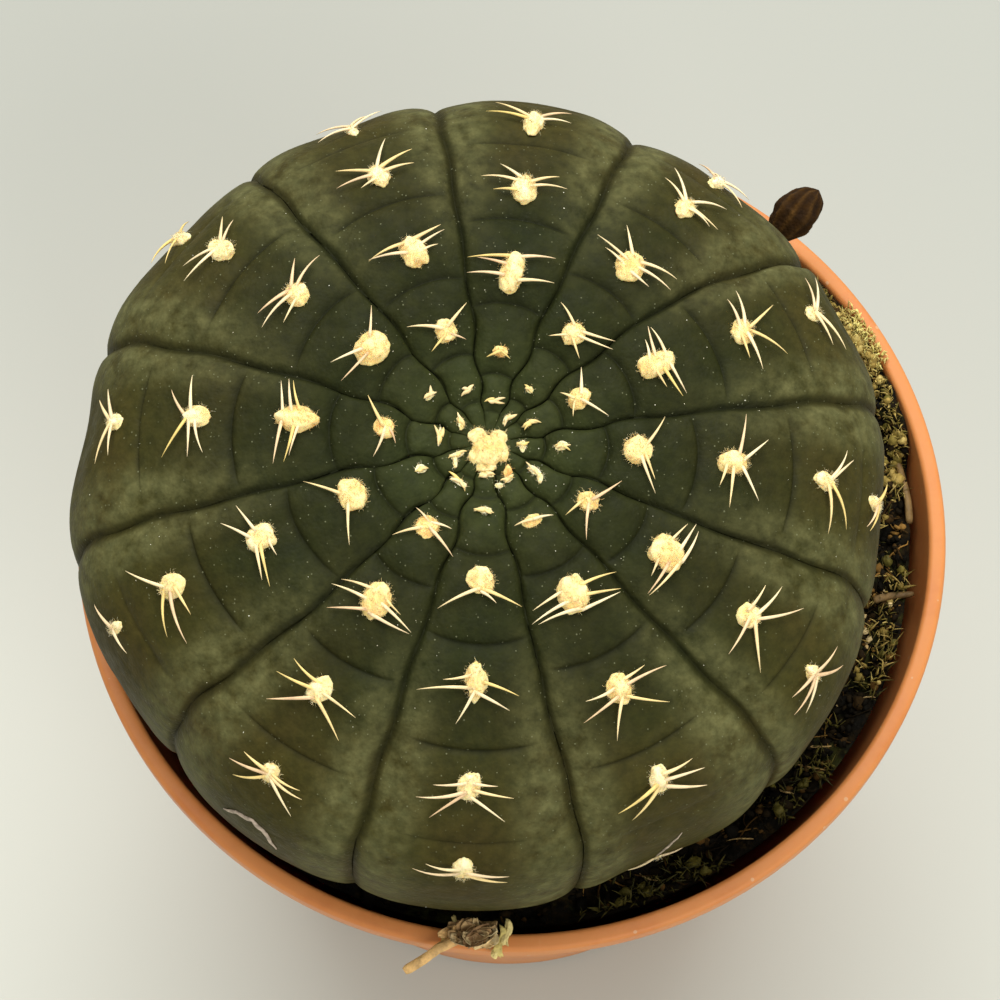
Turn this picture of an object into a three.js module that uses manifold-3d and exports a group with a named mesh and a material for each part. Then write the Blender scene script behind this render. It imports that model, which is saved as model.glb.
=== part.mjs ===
// A potted Gymnocalycium ragonesei: a flattened, twelve-ribbed cactus in a round plastic nursery pot.
// Millimetres, +Z up. The origin is the centre of the pot's base, on the surface that it stands on.
// Bearings are in degrees clockwise from +Y, seen from above.

import * as THREE from 'three';
import { mergeVertices } from 'three/addons/utils/BufferGeometryUtils.js';
import Module from 'manifold-3d';

const wasm = await Module();
wasm.setup();

// Pot
const POT_HEIGHT = 52;
const LIP_RADIUS = 30;
const LIP_WIDTH = 1.2;
const LIP_DEPTH = 1.9;
const LIP_OVERHANG = 0.5;
const LIP_ROUNDING = 0.35;
const BASE_RADIUS = 21;
const BASE_THICKNESS = 1.4;
const WALL = 0.9;
const FOOT_CHAMFER = 0.8;
const LIP_FILLET = 0.3;
const BASE_FILLET = { wide: 1.2, high: 2 };
const POT_SEGMENTS = 60;
const DRAIN_HOLES = 6;
const DRAIN_RADIUS = 2.4;
const DRAIN_CIRCLE = 14;

// Clearance between pieces that rest on each other
const GAP = 0.32;

// Soil
const SOIL_LEVEL = POT_HEIGHT - 3.4;
const SOIL_ROUGHNESS = 0.45;
const SOIL_MOUND = 0.9;
const SOIL_COLUMNS = 54;
const SOIL_RINGS = 9;
const HOLE_SEGMENTS = 40;
const HOLE_GAP = 0.42;
const CRUMB_COUNT = 46;
const CRUMB_RADIUS = [0.45, 1.15];
const CRUMB_BAND = [20.5, 27.2];
const CRUMB_FLATNESS = [0.7, 1.1];
const CRUMB_STANDS = 0.15;
const CRUMB_TURN = 2.4;

// Stem: a flattened dome over a rounder underside that sits in the soil
const STEM_CENTRE = new THREE.Vector3(-2.2, -1.0, POT_HEIGHT + 6);
const STEM_LEAN = { towardX: 2.5, towardY: -4.0 };
const STEM_RADIUS = 27.1;
const STEM_RISE = 14.9;
const STEM_DEPTH = 15;
const CROWN_HOLLOW = { depth: 2.15, width: 7 };
const TOP_FLATNESS = 0.56;
const UNDER_FLATNESS = 0.8;

// Ribs and tubercles. A rib's bearing is where its areoles stand. Its lag is how far its areoles
// are ahead of the first rib's, as a share of the step from one areole to the next.
const RIBS = [
  { bearing: 7, lag: 0 },
  { bearing: 37, lag: -0.4 },
  { bearing: 64, lag: 0.1 },
  { bearing: 94, lag: -0.3 },
  { bearing: 123, lag: 0.35 },
  { bearing: 152, lag: 0.05 },
  { bearing: 182, lag: 0.7 },
  { bearing: 212, lag: 0.25 },
  { bearing: 244, lag: -0.3 },
  { bearing: 274, lag: 0.15 },
  { bearing: 307, lag: -0.3 },
  { bearing: 338, lag: 0.35 },
];
const ACROSS_RIB = [-1, -0.87, -0.5, 0, 0.5, 0.87];
const STEP_SHARES = [0, 0.14, 0.44, 0.84];
const AREOLE_SHARE = 0.34;
const TUBERCLE_BOW = 0.14;
const STEP_ANGLES = [5.7, 3.8, 2.95, 0.16];
const EDGE_STEP = 4.75;
const EDGE_PACE = 58;
const FIRST_STEP = -0.75;
const LAST_STEP = 5.9;
const UNDERSIDE_ROWS = 8;
const RIB_GROOVE = { crown: 0.5, flank: 0.9 };
const CROSS_GROOVE = { crown: 0.5, flank: 0.6 };
const GROOVE_GROWTH = 1.3;
const RIB_SQUARENESS = 3.4;
const CHIN_SQUARENESS = 2.4;
const CHIN_SKEW = 1.2;

// Areoles and spines
const LAST_AREOLE_STEP = 5.2;
const AREOLE = { width: 1.75, length: 2.1, height: 0.55 };
const SPINE_LENGTH = [2.2, 2.9];
const SPINE_THICKNESS = 0.3;
const SPINE_ANGLES = [68, 98];
const SPINE_ANGLE_SPREAD = 16;
const SPINE_LIFT = [8, 16];
const SPINE_ROOT_HEIGHT = 0.25;
const YOUNGEST = 0.38;
const GROWTH = 0.27;
const CROWN_WOOL = { width: 2.5, height: 0.7 };
const CROWN_TUFTS = 9;
const TUFT_LENGTH = 1.3;
const TUFT_SLOPE = 44;

// Taproot, below the stem
const ROOT = { neck: 4.2, middle: 2.6, tip: 0.5, length: 15, intoStem: 3 };
const ROOT_SEGMENTS = 14;

// Dried flower bud at the upper right, low on the flank of the second rib
const BUD_BEARING = 45;
const BUD_STEP = 5.14;
const BUD_LENGTH = 6.8;
const BUD_RADIUS = 1.45;
const BUD_LIFT = 22;
const BUD_SEGMENTS = 14;
const STUB_RADIUS = 0.75;

// Withered flower over the front of the lip, and two bits of straw on the soil
const FLOWER_CENTRE = new THREE.Vector3(-2.3, -29.5, POT_HEIGHT + GAP);
const FLOWER_SIZE = { long: 4.8, wide: 2.3, high: 1.5 };
const FLOWER_TURN = 12;
const FLOWER_GRID = { columns: 16, rows: 10 };
const FOLDS = { deep: 0.16, twisted: 0.1 };
const STALK_FROM = new THREE.Vector3(-3.4, -29.2, POT_HEIGHT + 0.95);
const STALK_TO = new THREE.Vector3(-6.8, -31.5, POT_HEIGHT + 0.6);
const STALK_RADIUS = 0.42;
const STRAW_RADIUS = 0.3;
const STRAW_LIFT = 0.15;
const STRAWS = [
  { name: 'straw_1', from: [25.2, -4.7], to: [28.0, -4.2] },
  { name: 'straw_2', from: [27.9, 0.9], to: [27.2, 5.8] },
];

// Random numbers from a fixed seed, so that every run gives the same plant
const PLANT_SEED = 3;
const SOIL_SEED = 7;

function seededRandom(seed) {
  let state = seed >>> 0;
  return () => {
    state = (Math.imul(state, 1664525) + 1013904223) >>> 0;
    return state / 4294967296;
  };
}

const between = (random, [low, high]) => low + (high - low) * random();
const radians = THREE.MathUtils.degToRad;

// Closed geometry to solid and back
function toSolid(geometry) {
  const bare = geometry.clone();
  bare.deleteAttribute('normal');
  bare.deleteAttribute('uv');
  const merged = mergeVertices(bare, 1e-4);
  const corners = Array.from(merged.index.array);
  const triangles = [];
  for (let i = 0; i < corners.length; i += 3) {
    const [a, b, c] = corners.slice(i, i + 3);
    if (a !== b && b !== c && c !== a) triangles.push(a, b, c);
  }
  const mesh = new wasm.Mesh({
    numProp: 3,
    vertProperties: new Float32Array(merged.attributes.position.array),
    triVerts: new Uint32Array(triangles),
  });
  return new wasm.Manifold(mesh);
}

function toGeometry(solid) {
  const mesh = solid.getMesh();
  const geometry = new THREE.BufferGeometry();
  geometry.setAttribute('position', new THREE.BufferAttribute(mesh.vertProperties, 3));
  geometry.setIndex(new THREE.BufferAttribute(mesh.triVerts, 1));
  geometry.computeVertexNormals();
  return geometry;
}

// A sphere's grid with each vertex moved to pointAt(column, row). Columns run anticlockwise.
function wrappedSphere(columns, rows, pointAt) {
  const geometry = new THREE.SphereGeometry(1, columns, rows);
  const { position, uv } = geometry.attributes;
  for (let i = 0; i < position.count; i += 1) {
    const column = Math.round(uv.getX(i) * columns) % columns;
    const row = Math.round((1 - uv.getY(i)) * rows);
    const point = pointAt(column, row);
    position.setXYZ(i, point.x, point.y, point.z);
  }
  return geometry;
}

// Pot: a tapered shell with a thin rounded lip and drain holes round a solid centre
function wallRadius(z) {
  return THREE.MathUtils.mapLinear(z, 0, POT_HEIGHT, BASE_RADIUS, LIP_RADIUS - LIP_OVERHANG);
}

function innerRadius(z) {
  const below = POT_HEIGHT - LIP_DEPTH;
  if (z >= below) return LIP_RADIUS - LIP_WIDTH;
  return Math.min(wallRadius(z) - WALL, LIP_RADIUS - LIP_WIDTH);
}

function makePot() {
  const lipFoot = POT_HEIGHT - LIP_DEPTH;
  const inner = LIP_RADIUS - LIP_WIDTH;
  const outline = [
    [0, 0],
    [BASE_RADIUS - FOOT_CHAMFER, 0],
    [wallRadius(FOOT_CHAMFER), FOOT_CHAMFER],
    [wallRadius(lipFoot - LIP_FILLET), lipFoot - LIP_FILLET],
    [LIP_RADIUS - LIP_ROUNDING, lipFoot],
    [LIP_RADIUS, lipFoot + LIP_ROUNDING],
    [LIP_RADIUS, POT_HEIGHT - LIP_ROUNDING],
    [LIP_RADIUS - LIP_ROUNDING, POT_HEIGHT],
    [inner + LIP_ROUNDING, POT_HEIGHT],
    [inner, POT_HEIGHT - LIP_ROUNDING],
    [innerRadius(lipFoot), lipFoot],
    [innerRadius(BASE_THICKNESS + BASE_FILLET.high), BASE_THICKNESS + BASE_FILLET.high],
    [innerRadius(BASE_THICKNESS) - BASE_FILLET.wide, BASE_THICKNESS],
    [0, BASE_THICKNESS],
  ];
  const lathe = new THREE.LatheGeometry(outline.map(([r, z]) => new THREE.Vector2(r, z)), POT_SEGMENTS);
  lathe.rotateX(Math.PI / 2);
  let pot = toSolid(lathe);
  for (let i = 0; i < DRAIN_HOLES; i += 1) {
    const angle = (i / DRAIN_HOLES) * 2 * Math.PI;
    const drill = new THREE.CylinderGeometry(DRAIN_RADIUS, DRAIN_RADIUS, 6 * BASE_THICKNESS, 16);
    drill.rotateX(Math.PI / 2);
    drill.translate(DRAIN_CIRCLE * Math.sin(angle), DRAIN_CIRCLE * Math.cos(angle), 0);
    pot = pot.subtract(toSolid(drill));
  }
  return pot;
}

// Stem frame: Z along the plant's axis, turned from upright by the lean
function stemMatrix() {
  const x = Math.sin(radians(STEM_LEAN.towardX));
  const y = Math.sin(radians(STEM_LEAN.towardY));
  const axis = new THREE.Vector3(x, y, Math.sqrt(1 - x ** 2 - y ** 2));
  const side = new THREE.Vector3(0, 1, 0).cross(axis).normalize();
  const front = axis.clone().cross(side);
  return new THREE.Matrix4().makeBasis(side, front, axis).setPosition(STEM_CENTRE);
}

const STEM_MATRIX = stemMatrix();

// Angle from the crown, in degrees, of a place so many areole steps out. Steps lengthen outwards by
// STEP_ANGLES: the first areole's angle, then the pace, its growth and the slowing of that growth.
// Round the stem's edge, where the oldest areoles stand, they are longer still.
function angleOfStep(step) {
  const [first, pace, growth, slowing] = STEP_ANGLES;
  if (step < 0) return first + pace * step;
  const near = Math.min(step, EDGE_STEP);
  return first + pace * near + growth * near ** 2 - slowing * near ** 3 + EDGE_PACE * (step - near);
}

// The smooth stem under the relief, in the stem's frame
function smoothStem(angle, bearing) {
  const u = radians(angle);
  const radius = STEM_RADIUS * Math.sin(u);
  const hollow = CROWN_HOLLOW.depth * Math.exp(-((radius / CROWN_HOLLOW.width) ** 2));
  const cosine = Math.cos(u);
  const height = cosine >= 0
    ? STEM_RISE * cosine ** TOP_FLATNESS - hollow
    : -STEM_DEPTH * (-cosine) ** UNDER_FLATNESS;
  const b = radians(bearing);
  return new THREE.Vector3(radius * Math.sin(b), radius * Math.cos(b), height);
}

// The rib at a bearing, and the place across it: 0 on the crest, -1 and 1 in its grooves
function acrossRib(bearing) {
  const count = RIBS.length;
  const wrap = (degrees) => THREE.MathUtils.euclideanModulo(degrees + 180, 360) - 180;
  let best = null;
  for (let i = 0; i < count; i += 1) {
    const offset = wrap(bearing - RIBS[i].bearing);
    const next = RIBS[(i + (offset >= 0 ? 1 : count - 1)) % count];
    const halfWidth = Math.abs(wrap(next.bearing - RIBS[i].bearing)) / 2;
    const place = offset / halfWidth;
    if (best === null || Math.abs(place) < Math.abs(best.place)) best = { rib: RIBS[i], place };
  }
  return best;
}

// How far the skin lies below the smooth stem: rib grooves, and a cross groove between tubercles
function reliefAt(step, bearing) {
  const { rib, place } = acrossRib(bearing);
  const spread = Math.sin(radians(Math.min(angleOfStep(step), 90)));
  const along = THREE.MathUtils.euclideanModulo(step - rib.lag + AREOLE_SHARE + TUBERCLE_BOW * place ** 2, 1);
  const ribShape = 1 - Math.abs(place) ** RIB_SQUARENESS;
  const chinShape = 1 - Math.abs(2 * along ** CHIN_SKEW - 1) ** CHIN_SQUARENESS;
  const ribDepth = RIB_GROOVE.crown + RIB_GROOVE.flank * spread ** GROOVE_GROWTH;
  const fade = 1 - THREE.MathUtils.smoothstep(step, EDGE_STEP, LAST_STEP - 0.3);
  const crossDepth = (CROSS_GROOVE.crown + CROSS_GROOVE.flank * spread * (1 - 0.5 * spread)) * fade;
  const open = THREE.MathUtils.smoothstep(step, FIRST_STEP - 0.5, 0.4);
  return open * (ribDepth * (ribShape - 1) + crossDepth * (chinShape - 1) * (1 - place ** 4));
}

// A point of the skin and its outward normal, in the stem's frame
function skinNormal(step, bearing) {
  const angle = angleOfStep(step);
  const out = smoothStem(angle + 0.5, bearing).sub(smoothStem(Math.max(angle - 0.5, 0.01), bearing));
  const round = new THREE.Vector3(Math.cos(radians(bearing)), -Math.sin(radians(bearing)), 0);
  return round.cross(out).normalize();
}

function skinPoint(step, bearing, raise = 0) {
  const normal = skinNormal(step, bearing);
  return smoothStem(angleOfStep(step), bearing).addScaledVector(normal, reliefAt(step, bearing) + raise);
}

// Columns of the stem's grid: each rib's share, closest near the grooves
function ribColumns() {
  const columns = [];
  RIBS.forEach((rib, i) => {
    const before = RIBS[(i + RIBS.length - 1) % RIBS.length];
    const after = RIBS[(i + 1) % RIBS.length];
    const toBefore = THREE.MathUtils.euclideanModulo(rib.bearing - before.bearing, 360) / 2;
    const toAfter = THREE.MathUtils.euclideanModulo(after.bearing - rib.bearing, 360) / 2;
    for (const place of ACROSS_RIB) {
      const bearing = rib.bearing + place * (place < 0 ? toBefore : toAfter);
      const lag = Math.abs(place) === 1 ? (rib.lag + before.lag) / 2 : rib.lag;
      columns.push({ bearing, shift: lag - TUBERCLE_BOW * place ** 2 });
    }
  });
  return columns.reverse();
}

// Rows of the stem's grid, in areole steps, closest at the cross grooves
function stemRows() {
  const rows = [];
  for (let step = -1; step <= EDGE_STEP; step += 1) {
    for (const share of STEP_SHARES) rows.push(step + share - AREOLE_SHARE);
  }
  const topSide = rows.filter((row) => row > FIRST_STEP && row < EDGE_STEP);
  for (let i = 0; i < UNDERSIDE_ROWS; i += 1) {
    topSide.push(THREE.MathUtils.mapLinear(i, 0, UNDERSIDE_ROWS, EDGE_STEP + 0.1, LAST_STEP));
  }
  return topSide;
}

function makeStem(raise) {
  const columns = ribColumns();
  const rows = stemRows();
  const last = rows.length + 1;
  const geometry = wrappedSphere(columns.length, last, (column, row) => {
    if (row === 0) return smoothStem(0, 0).add(new THREE.Vector3(0, 0, raise));
    if (row === last) return new THREE.Vector3(0, 0, -STEM_DEPTH - raise);
    const place = rows[row - 1];
    const settle = THREE.MathUtils.smoothstep(place, FIRST_STEP, 0)
      * (1 - THREE.MathUtils.smoothstep(place, EDGE_STEP - 0.5, EDGE_STEP + 0.6));
    const { bearing, shift } = columns[column];
    return skinPoint(place + shift * settle, bearing, raise);
  });
  return toSolid(geometry.applyMatrix4(STEM_MATRIX));
}

// Taproot: a tapering cone below the stem, upright in the soil
function makeRoot(raise) {
  const top = STEM_CENTRE.z - STEM_DEPTH;
  const outline = [
    [0, top - ROOT.length - raise],
    [ROOT.tip + raise, top - ROOT.length - raise],
    [ROOT.middle + raise, top - ROOT.length / 2],
    [ROOT.neck + raise, top],
    [ROOT.neck + raise, top + ROOT.intoStem],
    [0, top + ROOT.intoStem],
  ];
  const lathe = new THREE.LatheGeometry(outline.map(([r, z]) => new THREE.Vector2(r, z)), ROOT_SEGMENTS);
  lathe.rotateX(Math.PI / 2);
  lathe.translate(STEM_CENTRE.x, STEM_CENTRE.y, 0);
  return toSolid(lathe);
}

// One three-sided spine from a point
function makeSpine(from, direction, normal, length) {
  const cone = new THREE.ConeGeometry(SPINE_THICKNESS / 2, length, 3, 1);
  cone.translate(0, length / 2, 0);
  const side = direction.clone().cross(normal).normalize();
  const up = side.clone().cross(direction).normalize();
  return cone.applyMatrix4(new THREE.Matrix4().makeBasis(side, direction, up).setPosition(from));
}

// An areole and its spines. Ahead runs down the rib; the spines lie like a comb to both sides of it.
function makeAreole(step, rib, random) {
  const age = THREE.MathUtils.clamp(YOUNGEST + GROWTH * (step + 0.5), YOUNGEST, 1);
  const normal = skinNormal(step, rib.bearing);
  const centre = skinPoint(step, rib.bearing);
  const ahead = skinPoint(step + 0.05, rib.bearing).sub(skinPoint(step - 0.05, rib.bearing)).normalize();
  const side = ahead.clone().cross(normal).normalize();
  const up = side.clone().cross(ahead).normalize();
  const pad = new THREE.SphereGeometry(1, 6, 3);
  pad.scale((AREOLE.width / 2) * age, AREOLE.height * age, (AREOLE.length / 2) * age);
  pad.applyMatrix4(new THREE.Matrix4().makeBasis(side, up, ahead.clone().negate()).setPosition(centre));
  const pieces = [pad];
  for (const sign of [-1, 1]) {
    for (const angle of SPINE_ANGLES) {
      const turn = radians(sign * (angle + SPINE_ANGLE_SPREAD * (random() - 0.5)));
      const lift = radians(between(random, SPINE_LIFT));
      const flat = ahead.clone().multiplyScalar(Math.cos(turn)).addScaledVector(side, Math.sin(turn));
      const direction = flat.multiplyScalar(Math.cos(lift)).addScaledVector(up, Math.sin(lift)).normalize();
      const length = between(random, SPINE_LENGTH) * age;
      const root = centre.clone().addScaledVector(up, SPINE_ROOT_HEIGHT * age);
      pieces.push(makeSpine(root, direction, up, length));
    }
  }
  return pieces;
}

// Woolly crown: a low pad with short young spines round it
function makeCrown(random) {
  const top = smoothStem(0, 0);
  const wool = new THREE.SphereGeometry(1, 10, 6);
  wool.rotateX(Math.PI / 2);
  wool.scale(CROWN_WOOL.width / 2, CROWN_WOOL.width / 2, CROWN_WOOL.height);
  wool.translate(0, 0, top.z + 0.1);
  const pieces = [wool];
  for (let i = 0; i < CROWN_TUFTS; i += 1) {
    const bearing = (360 * (i + 0.5 * random())) / CROWN_TUFTS;
    const outward = new THREE.Vector3(Math.sin(radians(bearing)), Math.cos(radians(bearing)), 0);
    const from = top.clone().addScaledVector(outward, 0.35 * CROWN_WOOL.width);
    const slope = radians(TUFT_SLOPE);
    const direction = outward.clone().multiplyScalar(Math.cos(slope)).setZ(Math.sin(slope));
    pieces.push(makeSpine(from, direction, outward, TUFT_LENGTH));
  }
  return pieces;
}

function makeCactus() {
  const random = seededRandom(PLANT_SEED);
  const pieces = makeCrown(random);
  for (const rib of RIBS) {
    for (let step = rib.lag; step <= LAST_AREOLE_STEP; step += 1) {
      pieces.push(...makeAreole(step, rib, random));
    }
  }
  const grown = pieces.map((piece) => toSolid(piece.applyMatrix4(STEM_MATRIX)));
  return wasm.Manifold.union([makeStem(0), makeRoot(0), ...grown]);
}

// Soil: fills the pot to a rough top, mounded a little to the stem, with crumbs and grit sunk in
function soilTop(x, y) {
  const waves = Math.sin(0.9 * x + 1.3) * Math.cos(1.1 * y - 0.4)
    + 0.7 * Math.sin(2.1 * x - 1.7 * y) + 0.5 * Math.cos(3.2 * y + 1.1 * x);
  const reach = Math.hypot(x, y) / innerRadius(SOIL_LEVEL);
  return SOIL_LEVEL + SOIL_ROUGHNESS * waves / 2 + SOIL_MOUND * (1 - reach);
}

// The plain round hole that the underside of the stem sits in
function makeStemHole() {
  const outline = [[0, STEM_RISE]];
  for (let angle = 90; angle <= 180; angle += 10) {
    const point = smoothStem(Math.min(angle, 179.9), 90);
    const slope = radians(angle - 90);
    outline.push([point.x + HOLE_GAP * Math.cos(slope), point.z - HOLE_GAP * Math.sin(slope)]);
  }
  outline.splice(1, 0, [outline[1][0], STEM_RISE]);
  outline.push([0, -STEM_DEPTH - HOLE_GAP]);
  const widen = 1 / Math.cos(Math.PI / HOLE_SEGMENTS);
  const points = outline.reverse().map(([r, z]) => new THREE.Vector2(r * widen, z));
  const lathe = new THREE.LatheGeometry(points, HOLE_SEGMENTS);
  lathe.rotateX(Math.PI / 2);
  return toSolid(lathe.applyMatrix4(STEM_MATRIX));
}

function makeSoil() {
  const floor = BASE_THICKNESS + GAP;
  const wall = (z) => innerRadius(z) - GAP;
  const rim = wall(SOIL_LEVEL - 1);
  const geometry = wrappedSphere(SOIL_COLUMNS, SOIL_RINGS + 3, (column, row) => {
    const angle = (column / SOIL_COLUMNS) * 2 * Math.PI;
    const place = (radius) => [radius * Math.cos(angle), radius * Math.sin(angle)];
    if (row <= SOIL_RINGS) {
      const [x, y] = place(rim * (row / SOIL_RINGS));
      return new THREE.Vector3(x, y, soilTop(x, y));
    }
    if (row === SOIL_RINGS + 3) return new THREE.Vector3(0, 0, floor);
    const onWall = row === SOIL_RINGS + 1;
    const z = onWall ? floor + BASE_FILLET.high : floor;
    return new THREE.Vector3(...place(onWall ? wall(z) : wall(floor) - BASE_FILLET.wide - GAP), z);
  });
  const random = seededRandom(SOIL_SEED);
  const crumbs = [];
  for (let i = 0; i < CRUMB_COUNT; i += 1) {
    const size = between(random, CRUMB_RADIUS);
    const angle = CRUMB_TURN * i + random();
    const radius = between(random, CRUMB_BAND);
    const x = radius * Math.cos(angle);
    const y = radius * Math.sin(angle);
    const crumb = new THREE.IcosahedronGeometry(size, 0);
    crumb.scale(1, between(random, CRUMB_FLATNESS), between(random, CRUMB_FLATNESS));
    crumb.rotateZ(2 * Math.PI * random());
    crumb.translate(x, y, soilTop(x, y) + CRUMB_STANDS * size);
    crumbs.push(toSolid(crumb));
  }
  // A crumb that the hole cuts off loses its hold and is dropped
  const filled = wasm.Manifold.union([toSolid(geometry), ...crumbs]);
  const hollowed = filled.subtract(makeStemHole()).subtract(makeRoot(GAP));
  return hollowed.decompose().reduce((largest, body) => (body.volume() > largest.volume() ? body : largest));
}

// Dried bud: an egg on a short stub, pointing out and up from the flank
function makeDriedBud() {
  const outline = [
    [0, 0],
    [STUB_RADIUS, 0],
    [STUB_RADIUS, 0.3 * BUD_LENGTH],
    [0.8 * BUD_RADIUS, 0.45 * BUD_LENGTH],
    [BUD_RADIUS, 0.66 * BUD_LENGTH],
    [0.72 * BUD_RADIUS, 0.88 * BUD_LENGTH],
    [0.3 * BUD_RADIUS, BUD_LENGTH],
    [0, BUD_LENGTH],
  ];
  const lathe = new THREE.LatheGeometry(outline.map(([r, z]) => new THREE.Vector2(r, z)), BUD_SEGMENTS);
  const normal = skinNormal(BUD_STEP, BUD_BEARING);
  const root = skinPoint(BUD_STEP, BUD_BEARING, GAP);
  const flat = new THREE.Vector3(normal.x, normal.y, 0).normalize();
  const lift = radians(BUD_LIFT);
  const axis = flat.multiplyScalar(Math.cos(lift)).add(new THREE.Vector3(0, 0, Math.sin(lift)));
  const turn = new THREE.Quaternion().setFromUnitVectors(new THREE.Vector3(0, 1, 0), axis);
  lathe.applyQuaternion(turn);
  lathe.translate(root.x, root.y, root.z);
  return toSolid(lathe.applyMatrix4(STEM_MATRIX)).subtract(makeStem(GAP));
}

// A straight round stick between two points
function makeStick(from, to, radius, sides = 8) {
  const along = to.clone().sub(from);
  const stick = new THREE.CylinderGeometry(radius, radius, along.length(), sides);
  const upright = new THREE.Vector3(0, 1, 0);
  stick.applyQuaternion(new THREE.Quaternion().setFromUnitVectors(upright, along.normalize()));
  const middle = from.clone().add(to).multiplyScalar(0.5);
  stick.translate(middle.x, middle.y, middle.z);
  return toSolid(stick);
}

// Withered flower: a shrivelled, folded lump lying on the lip, with its pale stalk beside it
function makeWitheredFlower() {
  const { columns, rows } = FLOWER_GRID;
  const { long, wide, high } = FLOWER_SIZE;
  const geometry = wrappedSphere(columns, rows, (column, row) => {
    const turn = (column / columns) * 2 * Math.PI;
    const fall = (row / rows) * Math.PI;
    const folds = FOLDS.deep * Math.sin(5 * turn) + FOLDS.twisted * Math.sin(3 * turn + 4 * fall);
    const fold = 1 + folds * Math.sin(fall);
    return new THREE.Vector3(
      (long / 2) * fold * Math.sin(fall) * Math.cos(turn),
      (wide / 2) * fold * Math.sin(fall) * Math.sin(turn),
      Math.max(0, (high / 2) * (1 + 1.15 * Math.cos(fall) * fold)),
    );
  });
  geometry.rotateZ(radians(FLOWER_TURN));
  geometry.translate(FLOWER_CENTRE.x, FLOWER_CENTRE.y, FLOWER_CENTRE.z);
  return toSolid(geometry).add(makeStick(STALK_FROM, STALK_TO, STALK_RADIUS));
}

function makeStraw({ from, to }) {
  const lay = ([x, y]) => new THREE.Vector3(x, y, soilTop(x, y) + STRAW_RADIUS + GAP + STRAW_LIFT);
  return makeStick(lay(from), lay(to), STRAW_RADIUS, 6);
}

const FINISHES = {
  pot: { color: '#c87846', roughness: 0.45 },
  soil: { color: '#241d14', roughness: 0.95 },
  cactus: { color: '#474f38', roughness: 0.7 },
  dried_bud: { color: '#3c2a18', roughness: 0.85 },
  withered_flower: { color: '#6b5a40', roughness: 0.9 },
  straw: { color: '#b09668', roughness: 0.85 },
};

function addPiece(group, name, solid, finish) {
  const material = new THREE.MeshStandardMaterial({ ...FINISHES[finish], metalness: 0 });
  const mesh = new THREE.Mesh(toGeometry(solid), material);
  mesh.name = name;
  group.add(mesh);
}

const plant = new THREE.Group();
addPiece(plant, 'pot', makePot(), 'pot');
addPiece(plant, 'soil', makeSoil(), 'soil');
addPiece(plant, 'cactus', makeCactus(), 'cactus');
addPiece(plant, 'dried_bud', makeDriedBud(), 'dried_bud');
addPiece(plant, 'withered_flower', makeWitheredFlower(), 'withered_flower');
for (const straw of STRAWS) addPiece(plant, straw.name, makeStraw(straw), 'straw');

export default plant;
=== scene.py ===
"""Potted Gymnocalycium ragonesei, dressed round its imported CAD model.

Sizes are in millimetres, as in the part's source, and each finished mesh is brought to metres.
Bearings run clockwise from +Y, seen from above, in degrees. A step is the way along a rib from one
areole to the next, counted from the crown outwards.
"""

from __future__ import annotations

import itertools
import logging
import math
import random
from dataclasses import dataclass, field, replace
from enum import Enum
from typing import Sequence

import bmesh
import bpy
import numpy as np
from mathutils import Matrix, Vector
from mathutils.bvhtree import BVHTree


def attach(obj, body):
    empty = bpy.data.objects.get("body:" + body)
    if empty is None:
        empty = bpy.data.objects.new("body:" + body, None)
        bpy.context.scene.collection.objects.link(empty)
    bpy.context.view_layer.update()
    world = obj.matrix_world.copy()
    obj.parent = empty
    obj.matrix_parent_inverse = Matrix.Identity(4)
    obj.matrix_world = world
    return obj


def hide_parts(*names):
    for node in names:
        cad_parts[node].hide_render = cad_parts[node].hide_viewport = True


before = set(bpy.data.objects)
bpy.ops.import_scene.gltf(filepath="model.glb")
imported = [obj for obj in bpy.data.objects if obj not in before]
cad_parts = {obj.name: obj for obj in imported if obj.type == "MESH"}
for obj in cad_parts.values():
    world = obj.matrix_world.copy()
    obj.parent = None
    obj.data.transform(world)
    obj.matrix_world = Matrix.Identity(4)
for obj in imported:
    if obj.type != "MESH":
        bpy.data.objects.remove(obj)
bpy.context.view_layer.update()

LOG = logging.getLogger("potted_cactus")

# Driving sizes, repeated from the part's source
MM = 0.001
POT_HEIGHT = 52.0
LIP_RADIUS = 30.0
LIP_WIDTH = 1.2
LIP_DEPTH = 1.9
LIP_OVERHANG = 0.5
LIP_ROUNDING = 0.35
BASE_RADIUS = 21.0
BASE_THICKNESS = 1.4
WALL = 0.9
GAP = 0.32
SOIL_LEVEL = 48.6
SOIL_ROUGHNESS = 0.45
SOIL_MOUND = 0.9
HOLE_GAP = 0.42
STEM_CENTRE = (-2.2, -1.0, 58.0)
STEM_LEAN = (2.5, -4.0)
STEM_RADIUS = 27.1
STEM_RISE = 14.9
STEM_DEPTH = 15.0
ROOT_BODY = "root"

INNER_LIP = LIP_RADIUS - LIP_WIDTH
UPWARDS = np.array((0.0, 0.0, 1.0))

# Odd numbers that scatter the lattice cells of the noise
CELL_PRIMES = np.array((73856093, 19349663, 83492791))
SEED_PRIME = 2654435761
MIXERS = ((2246822519, 15), (3266489917, 13))
HASH_MASK = 0xFFFFFFFF

# Sockets of a colour Mix node, whose names its other types share
MIX_SHARE = 0
MIX_FIRST = 6
MIX_SECOND = 7
MIX_RESULT = 2

Colour = tuple[float, float, float, float]
Pair = tuple[float, float]
Triple = tuple[float, float, float]
Arc = tuple[float, float, int, float, float, float]
Points = np.ndarray
Mesh = bpy.types.Mesh
Material = bpy.types.Material
Socket = bpy.types.NodeSocket


class Slot(Enum):
    """The material slots."""

    POT = "pot_plastic"
    SOIL = "potting_soil"
    SKIN = "cactus_skin"
    BUD = "dried_bud"
    FLOWER = "withered_flower"
    STRAW = "straw"


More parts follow.
